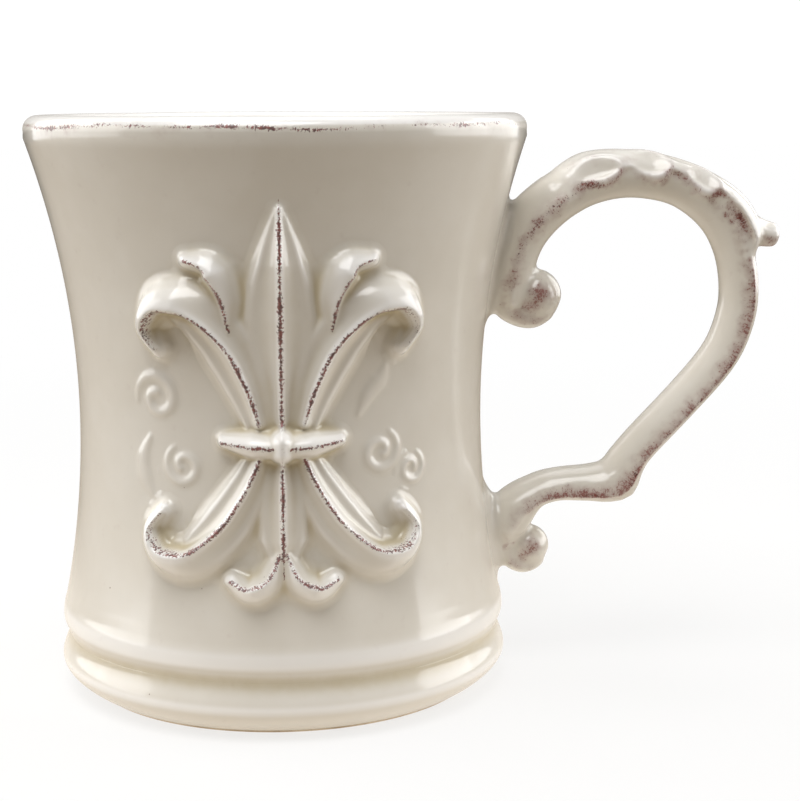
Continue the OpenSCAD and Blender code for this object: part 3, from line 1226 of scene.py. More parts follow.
@dataclass(frozen=True)
class WorkedRelief:
    """Relief worked as one surface, before it is cut into its pieces."""

    names: tuple[str, ...]
    u: Array
    v: Array
    owner: Array
    height: Array
    marks: dict[str, Array]

    def pool_shade_highlight_at(self, u: Array, v: Array) -> Array:
        """Reads the pooled glaze and painted shade, and below 0 the thin glaze and painted highlight, at
        spots on the wall, round the relief and on it.

        Args:
            u: How far round the wall each spot lies.
            v: The level of each spot.

        Returns:
            How much, or 0 off the sheet.
        """
        rows, cols = self.height.shape
        col = (u - self.u[0, 0]) / (self.u[0, -1] - self.u[0, 0]) * (cols - 1)
        row = (v - self.v[0, 0]) / (self.v[-1, 0] - self.v[0, 0]) * (rows - 1)
        inside = (col >= 0) & (col <= cols - 1) & (row >= 0) & (row <= rows - 1)
        at = np.clip(np.rint(row), 0, rows - 1).astype(int), np.clip(np.rint(col), 0, cols - 1).astype(int)
        return np.where(inside, self.marks["pool"][at], 0)


@dataclass
class Relief:
    """Relief that is laid on the wall, worked as one surface and cut into its pieces. Millimetres."""

    wall: Wall
    facing: Facing
    left: float
    right: float
    low: float
    high: float
    pitch: float = 0.25
    melt: float = 0.5
    back: float = 1.3
    hollow_reach: float = 1.1
    least: float = 0.012
    tuck_rings: int = 3
    tuck: float = 0.035

    def work(self, cuts: dict[str, list[Stroke]]) -> WorkedRelief:
        """Measures all the strokes and melts them together.

        Args:
            cuts: Each piece's strokes.

        Returns:
            The worked surface.
        """
        us = np.arange(self.left, self.right + self.pitch / 2, self.pitch)
        vs = np.arange(self.low, self.high + self.pitch / 2, self.pitch)
        u, v = np.meshgrid(us, vs)
        total = np.zeros(u.shape)
        best = np.full(u.shape, 1e-3)
        owner = np.full(u.shape, -1)
        line, run = np.zeros(u.shape), np.zeros(u.shape)
        for i, strokes in enumerate(cuts.values()):
            for stroke in strokes:
                height, stain, way = stroke.measure(u, v)
                higher = height > best
                owner[higher] = i
                line = np.where(higher, stain, line)
                run = np.where(higher, way + 40 * i, run)
                best = np.maximum(best, height)
                total = merged(total, height, self.melt)
        total = blurred(total, 0.9)
        # Painted shade and highlight: khaki where the relief lies below its blurred self, in hollows and
        # round its foot, whiter on its ridges; partly pooled and thin glaze.
        pool = np.clip(blurred(total, self.hollow_reach / self.pitch) - total, -1.2, 0.75) * 1.1
        pool = np.where(pool > 0, pool * 0.75, pool)
        marks = {"pool": pool, "line": line, "run": run}
        return WorkedRelief(tuple(cuts), u, v, owner, total, marks)

    def build(self, worked: WorkedRelief) -> dict[str, bpy.types.Object]:
        """Cuts the pieces out of the worked surface.

        Args:
            worked: The surface.

        Returns:
            The pieces by name.
        """
        u, v, total = worked.u, worked.v, worked.height
        surface = self.wall.point(u, v, total, self.facing)
        normals = grid_normals(surface)
        backing = self.wall.point(u, v, -self.back + 0 * total, self.facing)
        pieces = {}
        for i, name in enumerate(worked.names):
            own = (worked.owner == i) & (total > self.least)
            pieces[name] = self.cut(name, own, surface, backing, normals, worked.marks)
        return pieces

    def cut(
        self, name: str, own: Array, surface: Array, backing: Array, normals: Array, marks: dict[str, Array]
    ) -> bpy.types.Object:
        """Cuts one piece out of the worked surface and tucks its edge under its neighbours.

        Args:
            name: The piece's name.
            own: Where the piece is what shows.
            surface: The worked surface's points.
            backing: The points behind it.
            normals: The surface's normals.
            marks: Numbers that the glaze reads.

        Returns:
            The closed piece.
        """
        rows, cols = np.where(own)
        rings, margin = self.tuck_rings, self.tuck_rings + 1
        window = tuple(slice(max(line.min() - margin, 0), line.max() + margin + 1) for line in (rows, cols))
        keep, beyond = own[window].copy(), np.zeros(own[window].shape)
        for _ in range(rings):
            wider = keep.copy()
            wider[1:] |= keep[:-1]
            wider[:-1] |= keep[1:]
            wider[:, 1:] |= keep[:, :-1]
            wider[:, :-1] |= keep[:, 1:]
            keep = wider
            beyond += ~keep
        sink = np.where(own[window], 0, (beyond + 1) ** 2 * self.tuck)
        piece, row, col, front = laid_sheet(name, keep)
        shown = surface[window] - normals[window] * sink[..., None]
        place_points(piece, np.where(front[:, None], shown[row, col], backing[window][row, col]))
        finish_surface(piece)
        for key, grid in marks.items():
            set_values(piece, key, np.where(front, grid[window][row, col], 0))
        shade_as(piece, np.where(front, 1, -1)[:, None] * normals[window][row, col])
        return piece


def spiral(u: float, v: float, radius: float, start: float, sweep: float) -> list[tuple[float, float]]:
    """A spiral that winds in to a quarter of its radius.

    Args:
        u: Its middle, round the wall.
        v: Its middle's level.
        radius: Its outer radius.
        start: The angle it starts at, in degrees.
        sweep: How far it turns, in degrees.

    Returns:
        The path.
    """
    path = []
    for i in range(19):
        t = i / 18
        a = math.radians(start + sweep * t)
        r = radius * (1 - 0.76 * t)
        path.append((u + r * math.cos(a), v + r * math.sin(a)))
    return path


@dataclass
class Crest:
    """A lily crest in high relief, with low scrolls round it. Millimetres."""

    wall: Wall
    collar_z: float = 55.0
    tall: float = 4.4
    bar: float = 5.2
    low: float = 0.45

    def at(self, *spots: tuple[float, float]) -> list[tuple[float, float]]:
        """Points measured from the middle of the collar."""
        return [(u, self.collar_z + v) for u, v in spots]

    def of(self, scale: float, *shares: float) -> tuple[float, ...]:
        """Shares of a size."""
        return tuple(scale * s for s in shares)

    def petals(self) -> dict[str, list[Stroke]]:
        """The bars above the collar."""
        spear = Stroke(
            self.at((0, 1), (0, 12), (0, 24), (0, 37.5)),
            self.of(self.bar, 0.62, 0.8, 1.1, 1.22, 1.0, 0.6, 0.16),
            self.of(self.tall, 0.85, 1, 1.05, 0.95, 0.35),
        )
        petal = Stroke(
            self.at((3.6, 1), (5.6, 8), (9.4, 16), (14.4, 21.4), (19.8, 21.6), (22.6, 17.4), (20.8, 13.6)),
            self.of(self.bar, 0.55, 0.8, 0.95, 0.95, 0.78, 0.52, 0.34),
            self.of(self.tall, 0.8, 0.95, 1, 1.1, 1.2, 1.15, 0.9),
            lean=(0, 0, 0, -0.15, -0.42, -0.42, -0.1),
            stain=(1, 1, 1, 1, 0.95, 0.8, 0.6),
        )
        curl = Stroke(
            self.at((8, 17), (8.4, 23), (10.6, 28), (14.4, 29)),
            self.of(self.bar, 0.34, 0.5, 0.56, 0.3),
            self.of(self.tall, 0.7, 0.9, 1, 0.6),
            lean=(0, -0.2, -0.4, 0),
            dome=(0.4, 0.4),
        )
        return {
            "crest_spear": [spear],
            "crest_petal_left": [petal.mirrored()],
            "crest_petal_right": [petal],
            "crest_curl_left": [curl.mirrored()],
            "crest_curl_right": [curl],
        }

    def stem(self) -> dict[str, list[Stroke]]:
        """The collar and the bars below it."""
        collar = Stroke(
            self.at((-9.6, -2), (-3, -2.6), (3, -2.6), (9.6, -2)),
            (1.5, 3, 3.1, 3, 1.5),
            self.of(self.tall, 0.75, 1.15, 1.25, 1.15, 0.75),
            dome=(1, 1),
        )
        bud = Stroke(
            self.at((0, -3.6), (0, -1.6)),
            (2.7, 2.7),
            self.of(self.tall, 1.45, 1.45),
            dome=(1, 1),
            stain=(0.6, 0.6),
        )
        pendant = Stroke(
            self.at((0, -5), (0, -12), (0, -19), (0, -24)),
            self.of(self.bar, 0.55, 0.72, 0.82, 0.8, 0.35),
            self.of(self.tall, 0.8, 1, 1, 0.9, 0.5),
        )
        tail = Stroke(
            self.at((3.6, -5), (6.2, -11), (10.6, -18), (15.6, -22.8), (20.8, -22.4), (23, -18.4), (21, -15)),
            self.of(self.bar, 0.5, 0.72, 0.85, 0.85, 0.7, 0.46, 0.32),
            self.of(self.tall, 0.8, 0.95, 1, 1.05, 1.1, 1.05, 0.8),
            lean=(0, 0, 0, 0.15, 0.42, 0.42, 0.1),
            stain=(1, 1, 1, 1, 0.95, 0.8, 0.6),
        )
        toe = Stroke(
            self.at((0.4, -21), (2, -26), (5.4, -28), (8.6, -26.2)),
            self.of(self.bar, 0.32, 0.46, 0.5, 0.3),
            self.of(self.tall, 0.6, 0.85, 0.9, 0.6),
            lean=(0, 0.2, 0.4, 0),
            dome=(0.4, 0.4),
        )
        return {
            "crest_collar": [collar],
            "crest_bud": [bud],
            "crest_pendant": [pendant],
            "crest_tail_left": [tail.mirrored()],
            "crest_tail_right": [tail],
            "crest_toe_left": [toe.mirrored()],
            "crest_toe_right": [toe],
        }

    def scroll(self, u: float, v: float, radius: float, start: float, sweep: float) -> list[Stroke]:
        """A low scroll."""
        return [
            Stroke(
                spiral(u, self.collar_z + v, radius, start, sweep),
                self.of(radius, 0.12, 0.24, 0.25, 0.22, 0.2),
                self.of(self.low, 0.4, 0.9, 1, 1, 1.1),
                dome=(1, 1),
                foot=1.4,
                stain=(0, 0),
            )
        ]

    def leaf(self, *spots: tuple[float, float]) -> list[Stroke]:
        """A low leaf."""
        heights = self.of(self.low, 0.6, 1, 0.9, 0.3)
        return [Stroke(self.at(*spots), (0.6, 1.5, 1.8, 0.5), heights, dome=(1, 1), foot=1.6, stain=(0, 0))]

    def scrolls(self) -> dict[str, list[Stroke]]:
        """The low scrolls and leaves beside the crest."""
        return {
            "scroll_left_upper": self.scroll(-22.6, 4.6, 4.6, 190, -450),
            "scroll_left_lower": self.scroll(-17.6, -7, 3.8, 120, 450),
            "scroll_left_leaf": self.leaf((-24.6, -2.4), (-26.2, -6), (-25.8, -10), (-23.8, -13)),
            "scroll_right_upper": self.scroll(17.6, -5, 4, 60, -450),
            "scroll_right_lower": self.scroll(24.2, -8.6, 3, 60, -430),
            "scroll_right_leaf": self.leaf((13.6, 2), (15.4, 5.4), (17.6, 8), (18.6, 10.6)),
        }

    def sheet(self) -> Relief:
        """The part of the wall that the crest is worked on."""
        return Relief(self.wall, Facing.FRONT, -31, 31, self.collar_z - 33, self.collar_z + 42)

    def work(self) -> WorkedRelief:
        """Works the whole relief as one surface."""
        return self.sheet().work({**self.petals(), **self.stem(), **self.scrolls()})


# ---- the handle ----


@dataclass
class Handle:
    """The strap handle, its scrolls, its leaf and its slips. Millimetres, in the plane y = 0."""

    wall: Wall
    half: float = 5.6
    crown: float = 3.4
    belly: float = 4.0
    groove: float = 0.45
    knee: float = 0.6
    pad_t: float = 2.9
    leaf_t: float = 1.25
    leaf_back: float = 1.1
    leaf_reach: float = 125.0
    leaf_girth: float = 4.35
    leaf_span: tuple[float, float] = (0.215, 0.468)
    guide: Guide = (
        (44.4, 69.4), (43.0, 73.6), (43.5, 80), (45.7, 85.3), (49.6, 89.8), (54.9, 93.6), (61, 95.7),
        (68.2, 96), (76.8, 94), (84, 88.6), (87.6, 81.7), (88.8, 74.3), (88.1, 68), (85, 60.75),
        (77.35, 51.8), (68.6, 42.45), (65, 36.8), (59.4, 36.1), (53.6, 35.95), (49.1, 34.6), (45.6, 31.5),
        (43.4, 27.4), (44.2, 22.8),
    )
    swell: Sequence[float] = (
        0.85, 1.15, 1.4, 1.35, 1.3, 1.27, 1.18, 1.06, 1, 1, 0.96, 0.95, 0.95, 0.93, 0.9, 0.9, 1.15, 0.92,
        0.82, 0.84, 1.15, 1.2, 0.7,
    )
    lift: Sequence[float] = (
        0, -0.5, -1.0, -1.4, -1.4, -1.1, -0.6, 0, 0.8, 1.4, 1.7, 1.8, 1.8, 1.8, 1.8, 1.8, 1.8, 1.7, 1.5,
        1.2, 0.5, 0, 0,
    )
    rubbed: Sequence[float] = (
        0, 0.5, 0.7, 0.85, 0.95, 0.9, 0.5, 0.4, 0.6, 0.8, 0.95, 1, 1, 0.95, 0.95, 1, 1, 0.9, 0.7, 0.4, 0,
    )
    washed: Sequence[float] = (
        0.6, 0.7, 0.7, 0.6, 0.5, 0.4, 0.4, 0.5, 0.6, 0.75, 0.75, 0.75, 0.75, 0.75, 0.8, 0.9, 0.9, 0.8, 0.7,
        0.6,
    )
    lobes: Sequence[Sequence[float]] = (
        (8.5, 5.2, 5.0, 1.9, 0.02), (19.5, 4.6, 3.8, 2.6, 0.12), (30.5, 5.0, 3.6, 2.2, 0.15),
    )
    upper_eye: tuple[float, float, float] = (48.9, 73.2, 5.2)
    lower_eye: tuple[float, float, float] = (48.0, 23.9, 4.1)
    upper_curl: Guide = ((43.4, 76.6), (43.1, 72.4), (45.2, 70), (48.4, 69.2), (51.2, 70.8), (52, 73.4))
    lower_curl: Guide = ((43.5, 29), (43.2, 24.6), (44.4, 21.6), (47, 20.2), (49.6, 21.2), (50.4, 23.8))
    tip_guide: Guide = ((81.5, 92.6), (85.8, 89.8), (89.0, 86.7), (92.3, 84.9), (96.25, 84.3))

    def strap_path(self) -> Array:
        """The strap's middle line, evened out."""
        path = smooth_path(self.guide, 16)
        even = [np.convolve(np.pad(path[:, k], 4, mode="edge"), np.ones(9) / 9, "valid") for k in (0, 1)]
        return np.column_stack(even)

    def strap_point(self, t: Array, angle: Array) -> Array:
        """A point on the strap.

        Args:
            t: How far along it, 0 at the upper root.
            angle: Angle round it from the middle of the crown. The ridges are at 90 degrees each side.

        Returns:
            The points.
        """
        at, out = path_frame(self.strap_path(), t)
        w, lift = along(self.swell, t), along(self.lift, t)
        turn = within_half_turn(angle)
        around = np.abs(turn)
        on_crown, rise = around < math.pi / 2, np.cos(around)
        stand = np.clip(t * 9, 0, 1)
        crown = self.crown * w * stand + 0.6 * (1 - stand) - lift
        groove = self.groove * hump(around - math.radians(68), 0.22)
        over = crown * np.abs(rise) ** 0.8 - groove * w * stand
        under = -(self.belly * w + lift) * np.abs(rise) ** 0.9
        dent = hump(t - 0.115, 0.05) * hump(around - math.radians(52), 0.3) * stand
        knee = self.knee * hump(t - 0.722, 0.011) * on_crown * rise
        ridge = 1 + 0.05 * hump(around - math.pi / 2, 0.16)
        across = np.sign(turn) * self.half * (0.6 + 0.4 * w) * np.sin(around) * ridge
        return beside(at, out, np.where(on_crown, over, under) + lift - dent + knee, across)

    def strap(self) -> bpy.types.Object:
        """Pulls the strap and shapes its belly, ridges and crown."""
        piece, t, angle, skin = pulled("handle_strap", 360, 96)
        at, out = path_frame(smooth_path(self.guide, 16), t)
        middle = beside(at, out, 0 * t, 0 * t)
        near_end = np.clip(np.minimum(t / 0.04, (1 - t) / 0.07), 0, 1)
        girth = np.sqrt(near_end * (2 - near_end)) * skin
        place_points(piece, middle + (self.strap_point(t, angle) - middle) * girth[:, None])
        off = np.abs(np.abs(within_half_turn(angle)) - math.radians(88)) * self.half * 0.9
        strength = along(self.rubbed, t)
        line = np.clip(0.85 - off / 1.7, 0, 1) * strength
        brush(piece, line, np.clip(1.15 - off / 2.9, 0, 1) * strength * along(self.washed, t), t * 175)
        return piece

    def scroll(self, name: str, guide: Guide, radii: Sequence[float]) -> bpy.types.Object:
        """Rolls a root's end into a coil.

        Args:
            name: The piece's name.
            guide: The coil's path.
            radii: Its radius along it, from the root.

        Returns:
            The coil.
        """
        piece, t, angle, skin = pulled(name, 64, 48)
        at, out = path_frame(smooth_path(guide, 12), t)
        r = along(radii, t) * rounded_end(t) * skin
        across = r * along((1.4, 1.65, 1.8, 1.7, 1.5), t) * np.sin(angle)
        place_points(piece, beside(at, out, r * np.cos(angle), across))
        edge = np.clip(1 - (1 - np.abs(np.sin(angle))) * 2.2, 0, 1)
        brush(piece, edge * 0.35 * (1 - t), edge * 0.55 * (1 - 0.4 * t), 60 + t * 20)
        return piece

    def eye(self, name: str, spot: tuple[float, float, float]) -> bpy.types.Object:
        """Makes the ball that a scroll ends in.

        Args:
            name: The piece's name.
            spot: Its middle and radius.

        Returns:
            The ball.
        """
        x, z, r = spot
        middle = np.array((x, 0, z))
        clear_selection()
        bpy.ops.mesh.primitive_uv_sphere_add(
            segments=64, ring_count=40, radius=r * MM, location=tuple(middle * MM)
        )
        piece = new_piece(name)
        p = points_of(piece) - middle
        place_points(piece, p * (1, 1.06, 1) * 0.985 + middle)
        side = np.abs(p[:, 1]) / r > 0.3
        patch = hump(np.hypot(p[:, 0] - 0.12 * r, p[:, 2] - 0.22 * r), 0.5 * r) * side
        lower = hump(np.hypot(p[:, 0] + 0.4 * r, p[:, 2] + 0.4 * r), 0.45 * r) * side
        brush(piece, 0.55 * patch + 0.12 * lower, 0.75 * patch + 0.62 * lower, 0 * patch)
        return piece

    def leaf(self) -> bpy.types.Object:
        """Lays the scalloped leaf over the top of the strap."""
        rows, cols = 150, 200
        t = np.linspace(*self.leaf_span, cols)
        angle = np.radians(np.linspace(-self.leaf_reach, self.leaf_reach, rows))
        tt, aa = np.meshgrid(t, angle)
        base = self.strap_point(tt.ravel(), aa.ravel()).reshape(rows, cols, 3)
        normals = grid_normals(base)
        run = np.concatenate([[0], np.cumsum(np.linalg.norm(np.diff(base[rows // 2], axis=0), axis=1))])
        s = np.broadcast_to(run, (rows, cols))
        height, line = self.leaf_surface(s, run[-1], np.abs(aa) * self.leaf_girth)
        surface = base + normals * height[..., None]
        piece, row, col, front = laid_sheet("handle_leaf", height > -0.3)
        backing = base - normals * self.leaf_back
        place_points(piece, np.where(front[:, None], surface[row, col], backing[row, col]))
        brush(piece, line[row, col], line[row, col] * 0.9 + 0.13, s[row, col] + 7)
        return piece

    def leaf_surface(self, s: Array, length: float, down: Array) -> tuple[Array, Array]:
        """Models the leaf: scooped lobes with raised rims, and a vein along the crown.

        Args:
            s: How far along the leaf.
            length: The leaf's length.
            down: How far down its side from the middle of the crown.

        Returns:
            The height over the strap and how near it is to a stained edge.
        """
        height = self.leaf_t * ease(s / 8) * (1 - 0.25 * (down / 7) ** 2)
        hem = 6.3 + 0.3 * np.sin(s / length * math.pi)
        line = np.zeros(s.shape)
        for at, low, reach, drop, tilt in self.lobes:
            x, y = (s - at) / reach, (down - low - tilt * (s - at)) / drop
            d = np.hypot(x, y)
            ahead = ease(x * 0.8 + 0.55 - y * 0.35)
            height = height - 0.85 * np.exp(-((d / 0.85) ** 3)) * ease(s / 5)
            height = height + 0.5 * (hump(d - 1.1, 0.34) * (0.1 + 0.9 * ahead))
            hem = hem + 1.3 * hump(s - at - 1.2, reach * 0.8) - 0.7 * hump(s - at - reach * 1.45, 1.3)
            on_rim = np.clip(1 - np.abs(d - 1.12) * reach / 2.2, 0, 1)
            line = np.maximum(line, on_rim * (0.2 + 0.5 * ahead) * (0.35 + 0.65 * ease(y + 0.5)))
        vein = 0.35 * hump(down, 0.7) * ease((s - 8) / 10)
        height = height - vein - 0.2 * hump(down - 2.6, 0.6) * ease((s - 16) / 8)
        border = np.clip(1 - np.abs(hem - 0.4 - down) / 1.5, 0, 1) * ease(s / 6)
        border = border * along((0.8, 0.85, 0.75, 0.35, 0.4, 0.72, 0.45, 0.8, 0.75, 0.45, 0.35), s / length)
        height = height + 1.8 * hump(s - length * 0.84, 10) * hump(down, 5.5)
        edge = ease((hem + 0.6 - down) / 2.0) * ease((s + 0.4) / 2.5) * ease((length - s + 0.5) / 5)
        return (height + 0.4) * edge - 0.4, np.maximum(line, border * ease((length - s) / 6))

    def leaf_tip(self) -> bpy.types.Object:
        """Pulls the leaf's free tip, which curls up off the strap."""
        piece, t, angle, skin = pulled("handle_leaf_tip", 72, 56)
        at, out = path_frame(smooth_path(self.tip_guide, 14), t)
        w = along((5.9, 5.8, 5.0, 3.6, 2.4), t) * rounded_end(t) * skin
        h = along((2.4, 3.0, 2.9, 2.6, 2.2), t) * rounded_end(t) * skin
        upper = np.clip(np.cos(angle) + 0.3, 0, 1)
        crease = 0.2 * np.cos(5 * angle) * np.clip(1.1 - 1.1 * t, 0, 1) * upper
        place_points(piece, beside(at, out, h * (np.cos(angle) + crease), w * np.sin(angle)))
        around = np.abs(angle)
        side = hump(around - math.radians(104), 0.26) + 0.7 * hump(around - math.radians(60), 0.14)
        under = hump(around - math.radians(150), 0.6) * along((0.6, 0.8, 0.9, 0.9, 1.0), t)
        line = side * along((0.45, 0.6, 0.5, 0.3, 0.25), t)
        brush(piece, line, 0.5 * under + 0.3 * side + 0.14, 30 + t * 16)
        return piece

    def wall_sheet(self) -> bpy.types.Object:
        """Cuts a sheet of the cup's wall for the handle to melt into."""
        us, vs = np.arange(-15, 15.01, 0.5), np.arange(14, 101.01, 0.75)
        piece, row, col, front = laid_sheet("wall_sheet", np.ones((len(vs), len(us)), bool))
        depth = np.where(front, 0.0, -3.0)
        place_points(piece, self.wall.point(us[col], vs[row], depth, Facing.HANDLE))
        brush(piece, 0 * depth, 0 * depth, 0 * depth)
        return piece

    def slip(self, name: str, low: float, high: float) -> bpy.types.Object:
        """Fills a root's joint with slip, as a pad that lies along the wall.

        Args:
            name: The piece's name.
            low: The level of its lower end.
            high: The level of its upper end.

        Returns:
            The pad.
        """
        piece, t, angle, skin = pulled(name, 48, 40)
        z = low + (high - low) * t
        size = np.sqrt(np.clip(1 - np.abs(2 * t - 1) ** 2.5, 0, 1)) * skin
        x = self.wall.radius(z, 0 * t + Facing.HANDLE.value) - 0.6 + self.pad_t * size * np.cos(angle)
        place_points(piece, np.column_stack([x, self.half * size * np.sin(angle), z]))
        brush(piece, 0 * t, 0 * t, 0 * t)
        return piece

    def build(self) -> dict[str, bpy.types.Object]:
        """Makes the handle's pieces, melts them together as the glaze does, and parts them again."""
        raw = [
            self.wall_sheet(),
            self.slip("upper_joint_slip", 67.5, 92.5),
            self.slip("lower_joint_slip", 18.5, 37.5),
            self.strap(),
            self.scroll("upper_scroll", self.upper_curl, (4.3, 3.0, 2.5, 2.3, 2.0, 1.7)),
            self.scroll("lower_scroll", self.lower_curl, (3.4, 2.4, 2.0, 1.8, 1.6, 1.3)),
            self.eye("upper_scroll_eye", self.upper_eye),
            self.eye("lower_scroll_eye", self.lower_eye),
            self.leaf(),
            self.leaf_tip(),
        ]
        return Melt(self.wall, raw).pieces()


class Melt:
    """Melts the handle's pieces and the wall into one skin, then parts it piece by piece. Millimetres."""

    voxel: float = 0.3
    back: float = 0.9
    slip_reach: float = 0.9
    tucks: tuple[float, ...] = (0.06, 0.22, 0.45)
    # painted light that whitens the shaded leaf
    leaf_painted_light: float = 0.18
    marks: tuple[str, ...] = ("line", "wash", "run")

    def __init__(self, wall: Wall, raw: list[bpy.types.Object]) -> None:
        """Melts the raw pieces, which are used up.

        Args:
            wall: The cup's wall.
            raw: The pieces, the sheet of wall first.
        """
        self.wall = wall
        self.names = [piece.name.split(".")[0] for piece in raw]
        spots = [points_of(piece) for piece in raw]
        numbers = {name: np.concatenate([values_of(piece, name) for piece in raw]) for name in self.marks}
        labels = np.concatenate([np.full(len(p), i) for i, p in enumerate(spots)])
        self.skin = self.joined(raw)
        self.web = Web(self.skin)
        first = points_of(self.skin)
        nearest = self.nearest(np.concatenate(spots), first)
        self.label = labels[nearest]
        self.numbers = {name: self.web.relaxed(numbers[name][nearest], 3) for name in self.marks}
        self.melt_points(first)

    def joined(self, raw: list[bpy.types.Object]) -> bpy.types.Object:
        """Joins the raw pieces into one skin.

        Args:
            raw: The pieces, which are used up.

        Returns:
            The skin.
        """
        for piece in raw:
            finish_surface(piece)
        for piece in raw:
            piece.select_set(True)
        bpy.context.view_layer.objects.active = raw[0]
        bpy.ops.object.join()
        skin = bpy.context.object
        skin.data.attributes.remove(skin.data.attributes["line"])
        remesh = skin.modifiers.new("melt", "REMESH")
        remesh.mode = "VOXEL"
        remesh.voxel_size = self.voxel * MM
        bpy.ops.object.modifier_apply(modifier=remesh.name)
        return skin

    def nearest(self, raw: Array, melted: Array) -> Array:
        """Finds the raw point that lies nearest to each melted one.

        Args:
            raw: The raw pieces' points.
            melted: The skin's points.

        Returns:
            Which raw point it is, by its place in the list.
        """
        tree = KDTree(len(raw))
        for i, p in enumerate(raw):
            tree.insert(p, i)
        tree.balance()
        return np.array([tree.find(p)[1] for p in melted])

    def named(self, word: str) -> Array:
        """Which of the skin's vertices belong to pieces with the word in their names."""
        return np.isin(self.label, [i for i, name in enumerate(self.names) if word in name])

    def off_wall(self, p: Array) -> Array:
        """How far points stand off the wall."""
        turn, r = round_the_cup(p)
        return r - self.wall.radius(p[:, 2], turn)

    def melt_points(self, first: Array) -> None:
        """Softens the skin all over, and more where it meets the wall and where its pieces meet.

        Args:
            first: The skin's points as they come from the melt.
        """
        web = self.web
        p = web.relaxed(first, 5)
        edge = (np.abs(self.off_wall(p)) < 0.25) & (self.label > 0)
        seam = web.spread(edge) & (web.spread(self.label == 0) | edge)
        near = web.relaxed((seam | self.named("slip")).astype(float), 30)
        p = web.relaxed(p, 150, 0.5 * ease(near / 0.2))
        joint = self.label[web.a] != self.label[web.b]
        border = np.zeros(len(p))
        border[web.a[joint]] = border[web.b[joint]] = 1
        p = web.relaxed(p, 50, 0.5 * ease(web.relaxed(border, 10) / 0.15))
        flat = (self.label == 0) & (self.off_wall(p) < 0.03)
        turn, _ = round_the_cup(p[flat])
        u = (turn - Facing.HANDLE.value) * self.wall.waist_r
        p[flat] = self.wall.point(u, p[flat, 2], 0 * u, Facing.HANDLE)
        place_points(self.skin, p)
        finish_surface(self.skin)
        self.points, self.normals = p, vertex_rows(self.skin, "normal")
        self.numbers["pool"] = self.pooled_and_shaded()

    def pooled_and_shaded(self) -> Array:
        """How much the glaze pools and shade is painted in the skin's hollows; the leaf is whitened all over
        with painted light.
        """
        p, n = self.points, self.normals
        wide, narrow = self.web.relaxed(p, 30), self.web.relaxed(p, 6)
        hollow = ((wide - p) * n).sum(1) * 0.9 + ((narrow - p) * n).sum(1) * 1.5
        return np.clip(self.web.relaxed(hollow - self.leaf_painted_light * self.named("leaf"), 3), -0.7, 0.7)

    def pieces(self) -> dict[str, bpy.types.Object]:
        """Parts the skin. What lies in the fillets at the wall is slip.

        Returns:
            The pieces by name.
        """
        stand = self.off_wall(self.points)
        fillet = (stand < self.slip_reach) & ((stand > 0.015) | (self.label > 0))
        upper = self.points[:, 2] > self.wall.waist_z
        out = {}
        for i, name in enumerate(self.names[1:], 1):
            own = (self.label == i) & ~fillet & (stand > 0)
            if name.endswith("slip"):
                own |= fillet & (upper if name.startswith("upper") else ~upper)
            out[name] = self.part(name, own)
        bpy.data.objects.remove(self.skin)
        return out

    def part(self, name: str, own: Array) -> bpy.types.Object:
        """Cuts one piece out of the skin and closes it with a back.

        Args:
            name: The piece's name.
            own: Which of the skin's vertices are the piece's.

        Returns:
            The piece.
        """
        sink = np.zeros(len(own))
        keep = own
        for step in self.tucks:
            wider = self.web.spread(keep)
            sink[wider & ~keep] = step
            keep = wider
        clear_selection()
        self.skin.select_set(True)
        bpy.context.view_layer.objects.active = self.skin
        bpy.ops.object.duplicate()
        piece = bpy.context.object
        piece.name = piece.data.name = name
        home = piece.data.attributes.new("home", "INT", "POINT")
        home.data.foreach_set("value", np.arange(len(own), dtype=np.int32))
        trim(piece, keep)
        bpy.ops.mesh.select_all(action="SELECT")
        bpy.ops.mesh.extrude_region_move(TRANSFORM_OT_translate={"value": (0, 0, 0)})
        bpy.ops.object.mode_set(mode="OBJECT")
        front = np.empty(len(piece.data.vertices), bool)
        piece.data.vertices.foreach_get("select", front)
        source = np.empty(len(piece.data.vertices), np.int32)
        piece.data.attributes["home"].data.foreach_get("value", source)
        piece.data.attributes.remove(piece.data.attributes["home"])
        n = self.normals[source]
        depth = np.where(front, sink[source], self.back)
        place_points(piece, self.points[source] - n * depth[:, None])
        finish_surface(piece)
        for key, values in self.numbers.items():
            set_values(piece, key, values[source])
        shade_as(piece, np.where(front, 1, -1)[:, None] * n)
        return piece


# ---- studio ----


@dataclass(frozen=True)
class Lamp:
    """One soft box."""

    name: str
    place: tuple[float, float, float]
    aim: tuple[float, float, float]
    width: float
    depth: float
    power: float

    def hang(self) -> None:
        """Hangs the soft box and turns it to what it lights."""
        bpy.ops.object.light_add(type="AREA", location=self.place)
        lamp = bpy.context.object
        lamp.name = self.name
        lamp.data.shape = "RECTANGLE"
        lamp.data.size, lamp.data.size_y = self.width, self.depth
        lamp.data.energy = self.power
        lamp.visible_camera = False
        way = Vector(self.aim) - Vector(self.place)
        lamp.rotation_mode = "QUATERNION"
        lamp.rotation_quaternion = way.to_track_quat("-Z", "Y")


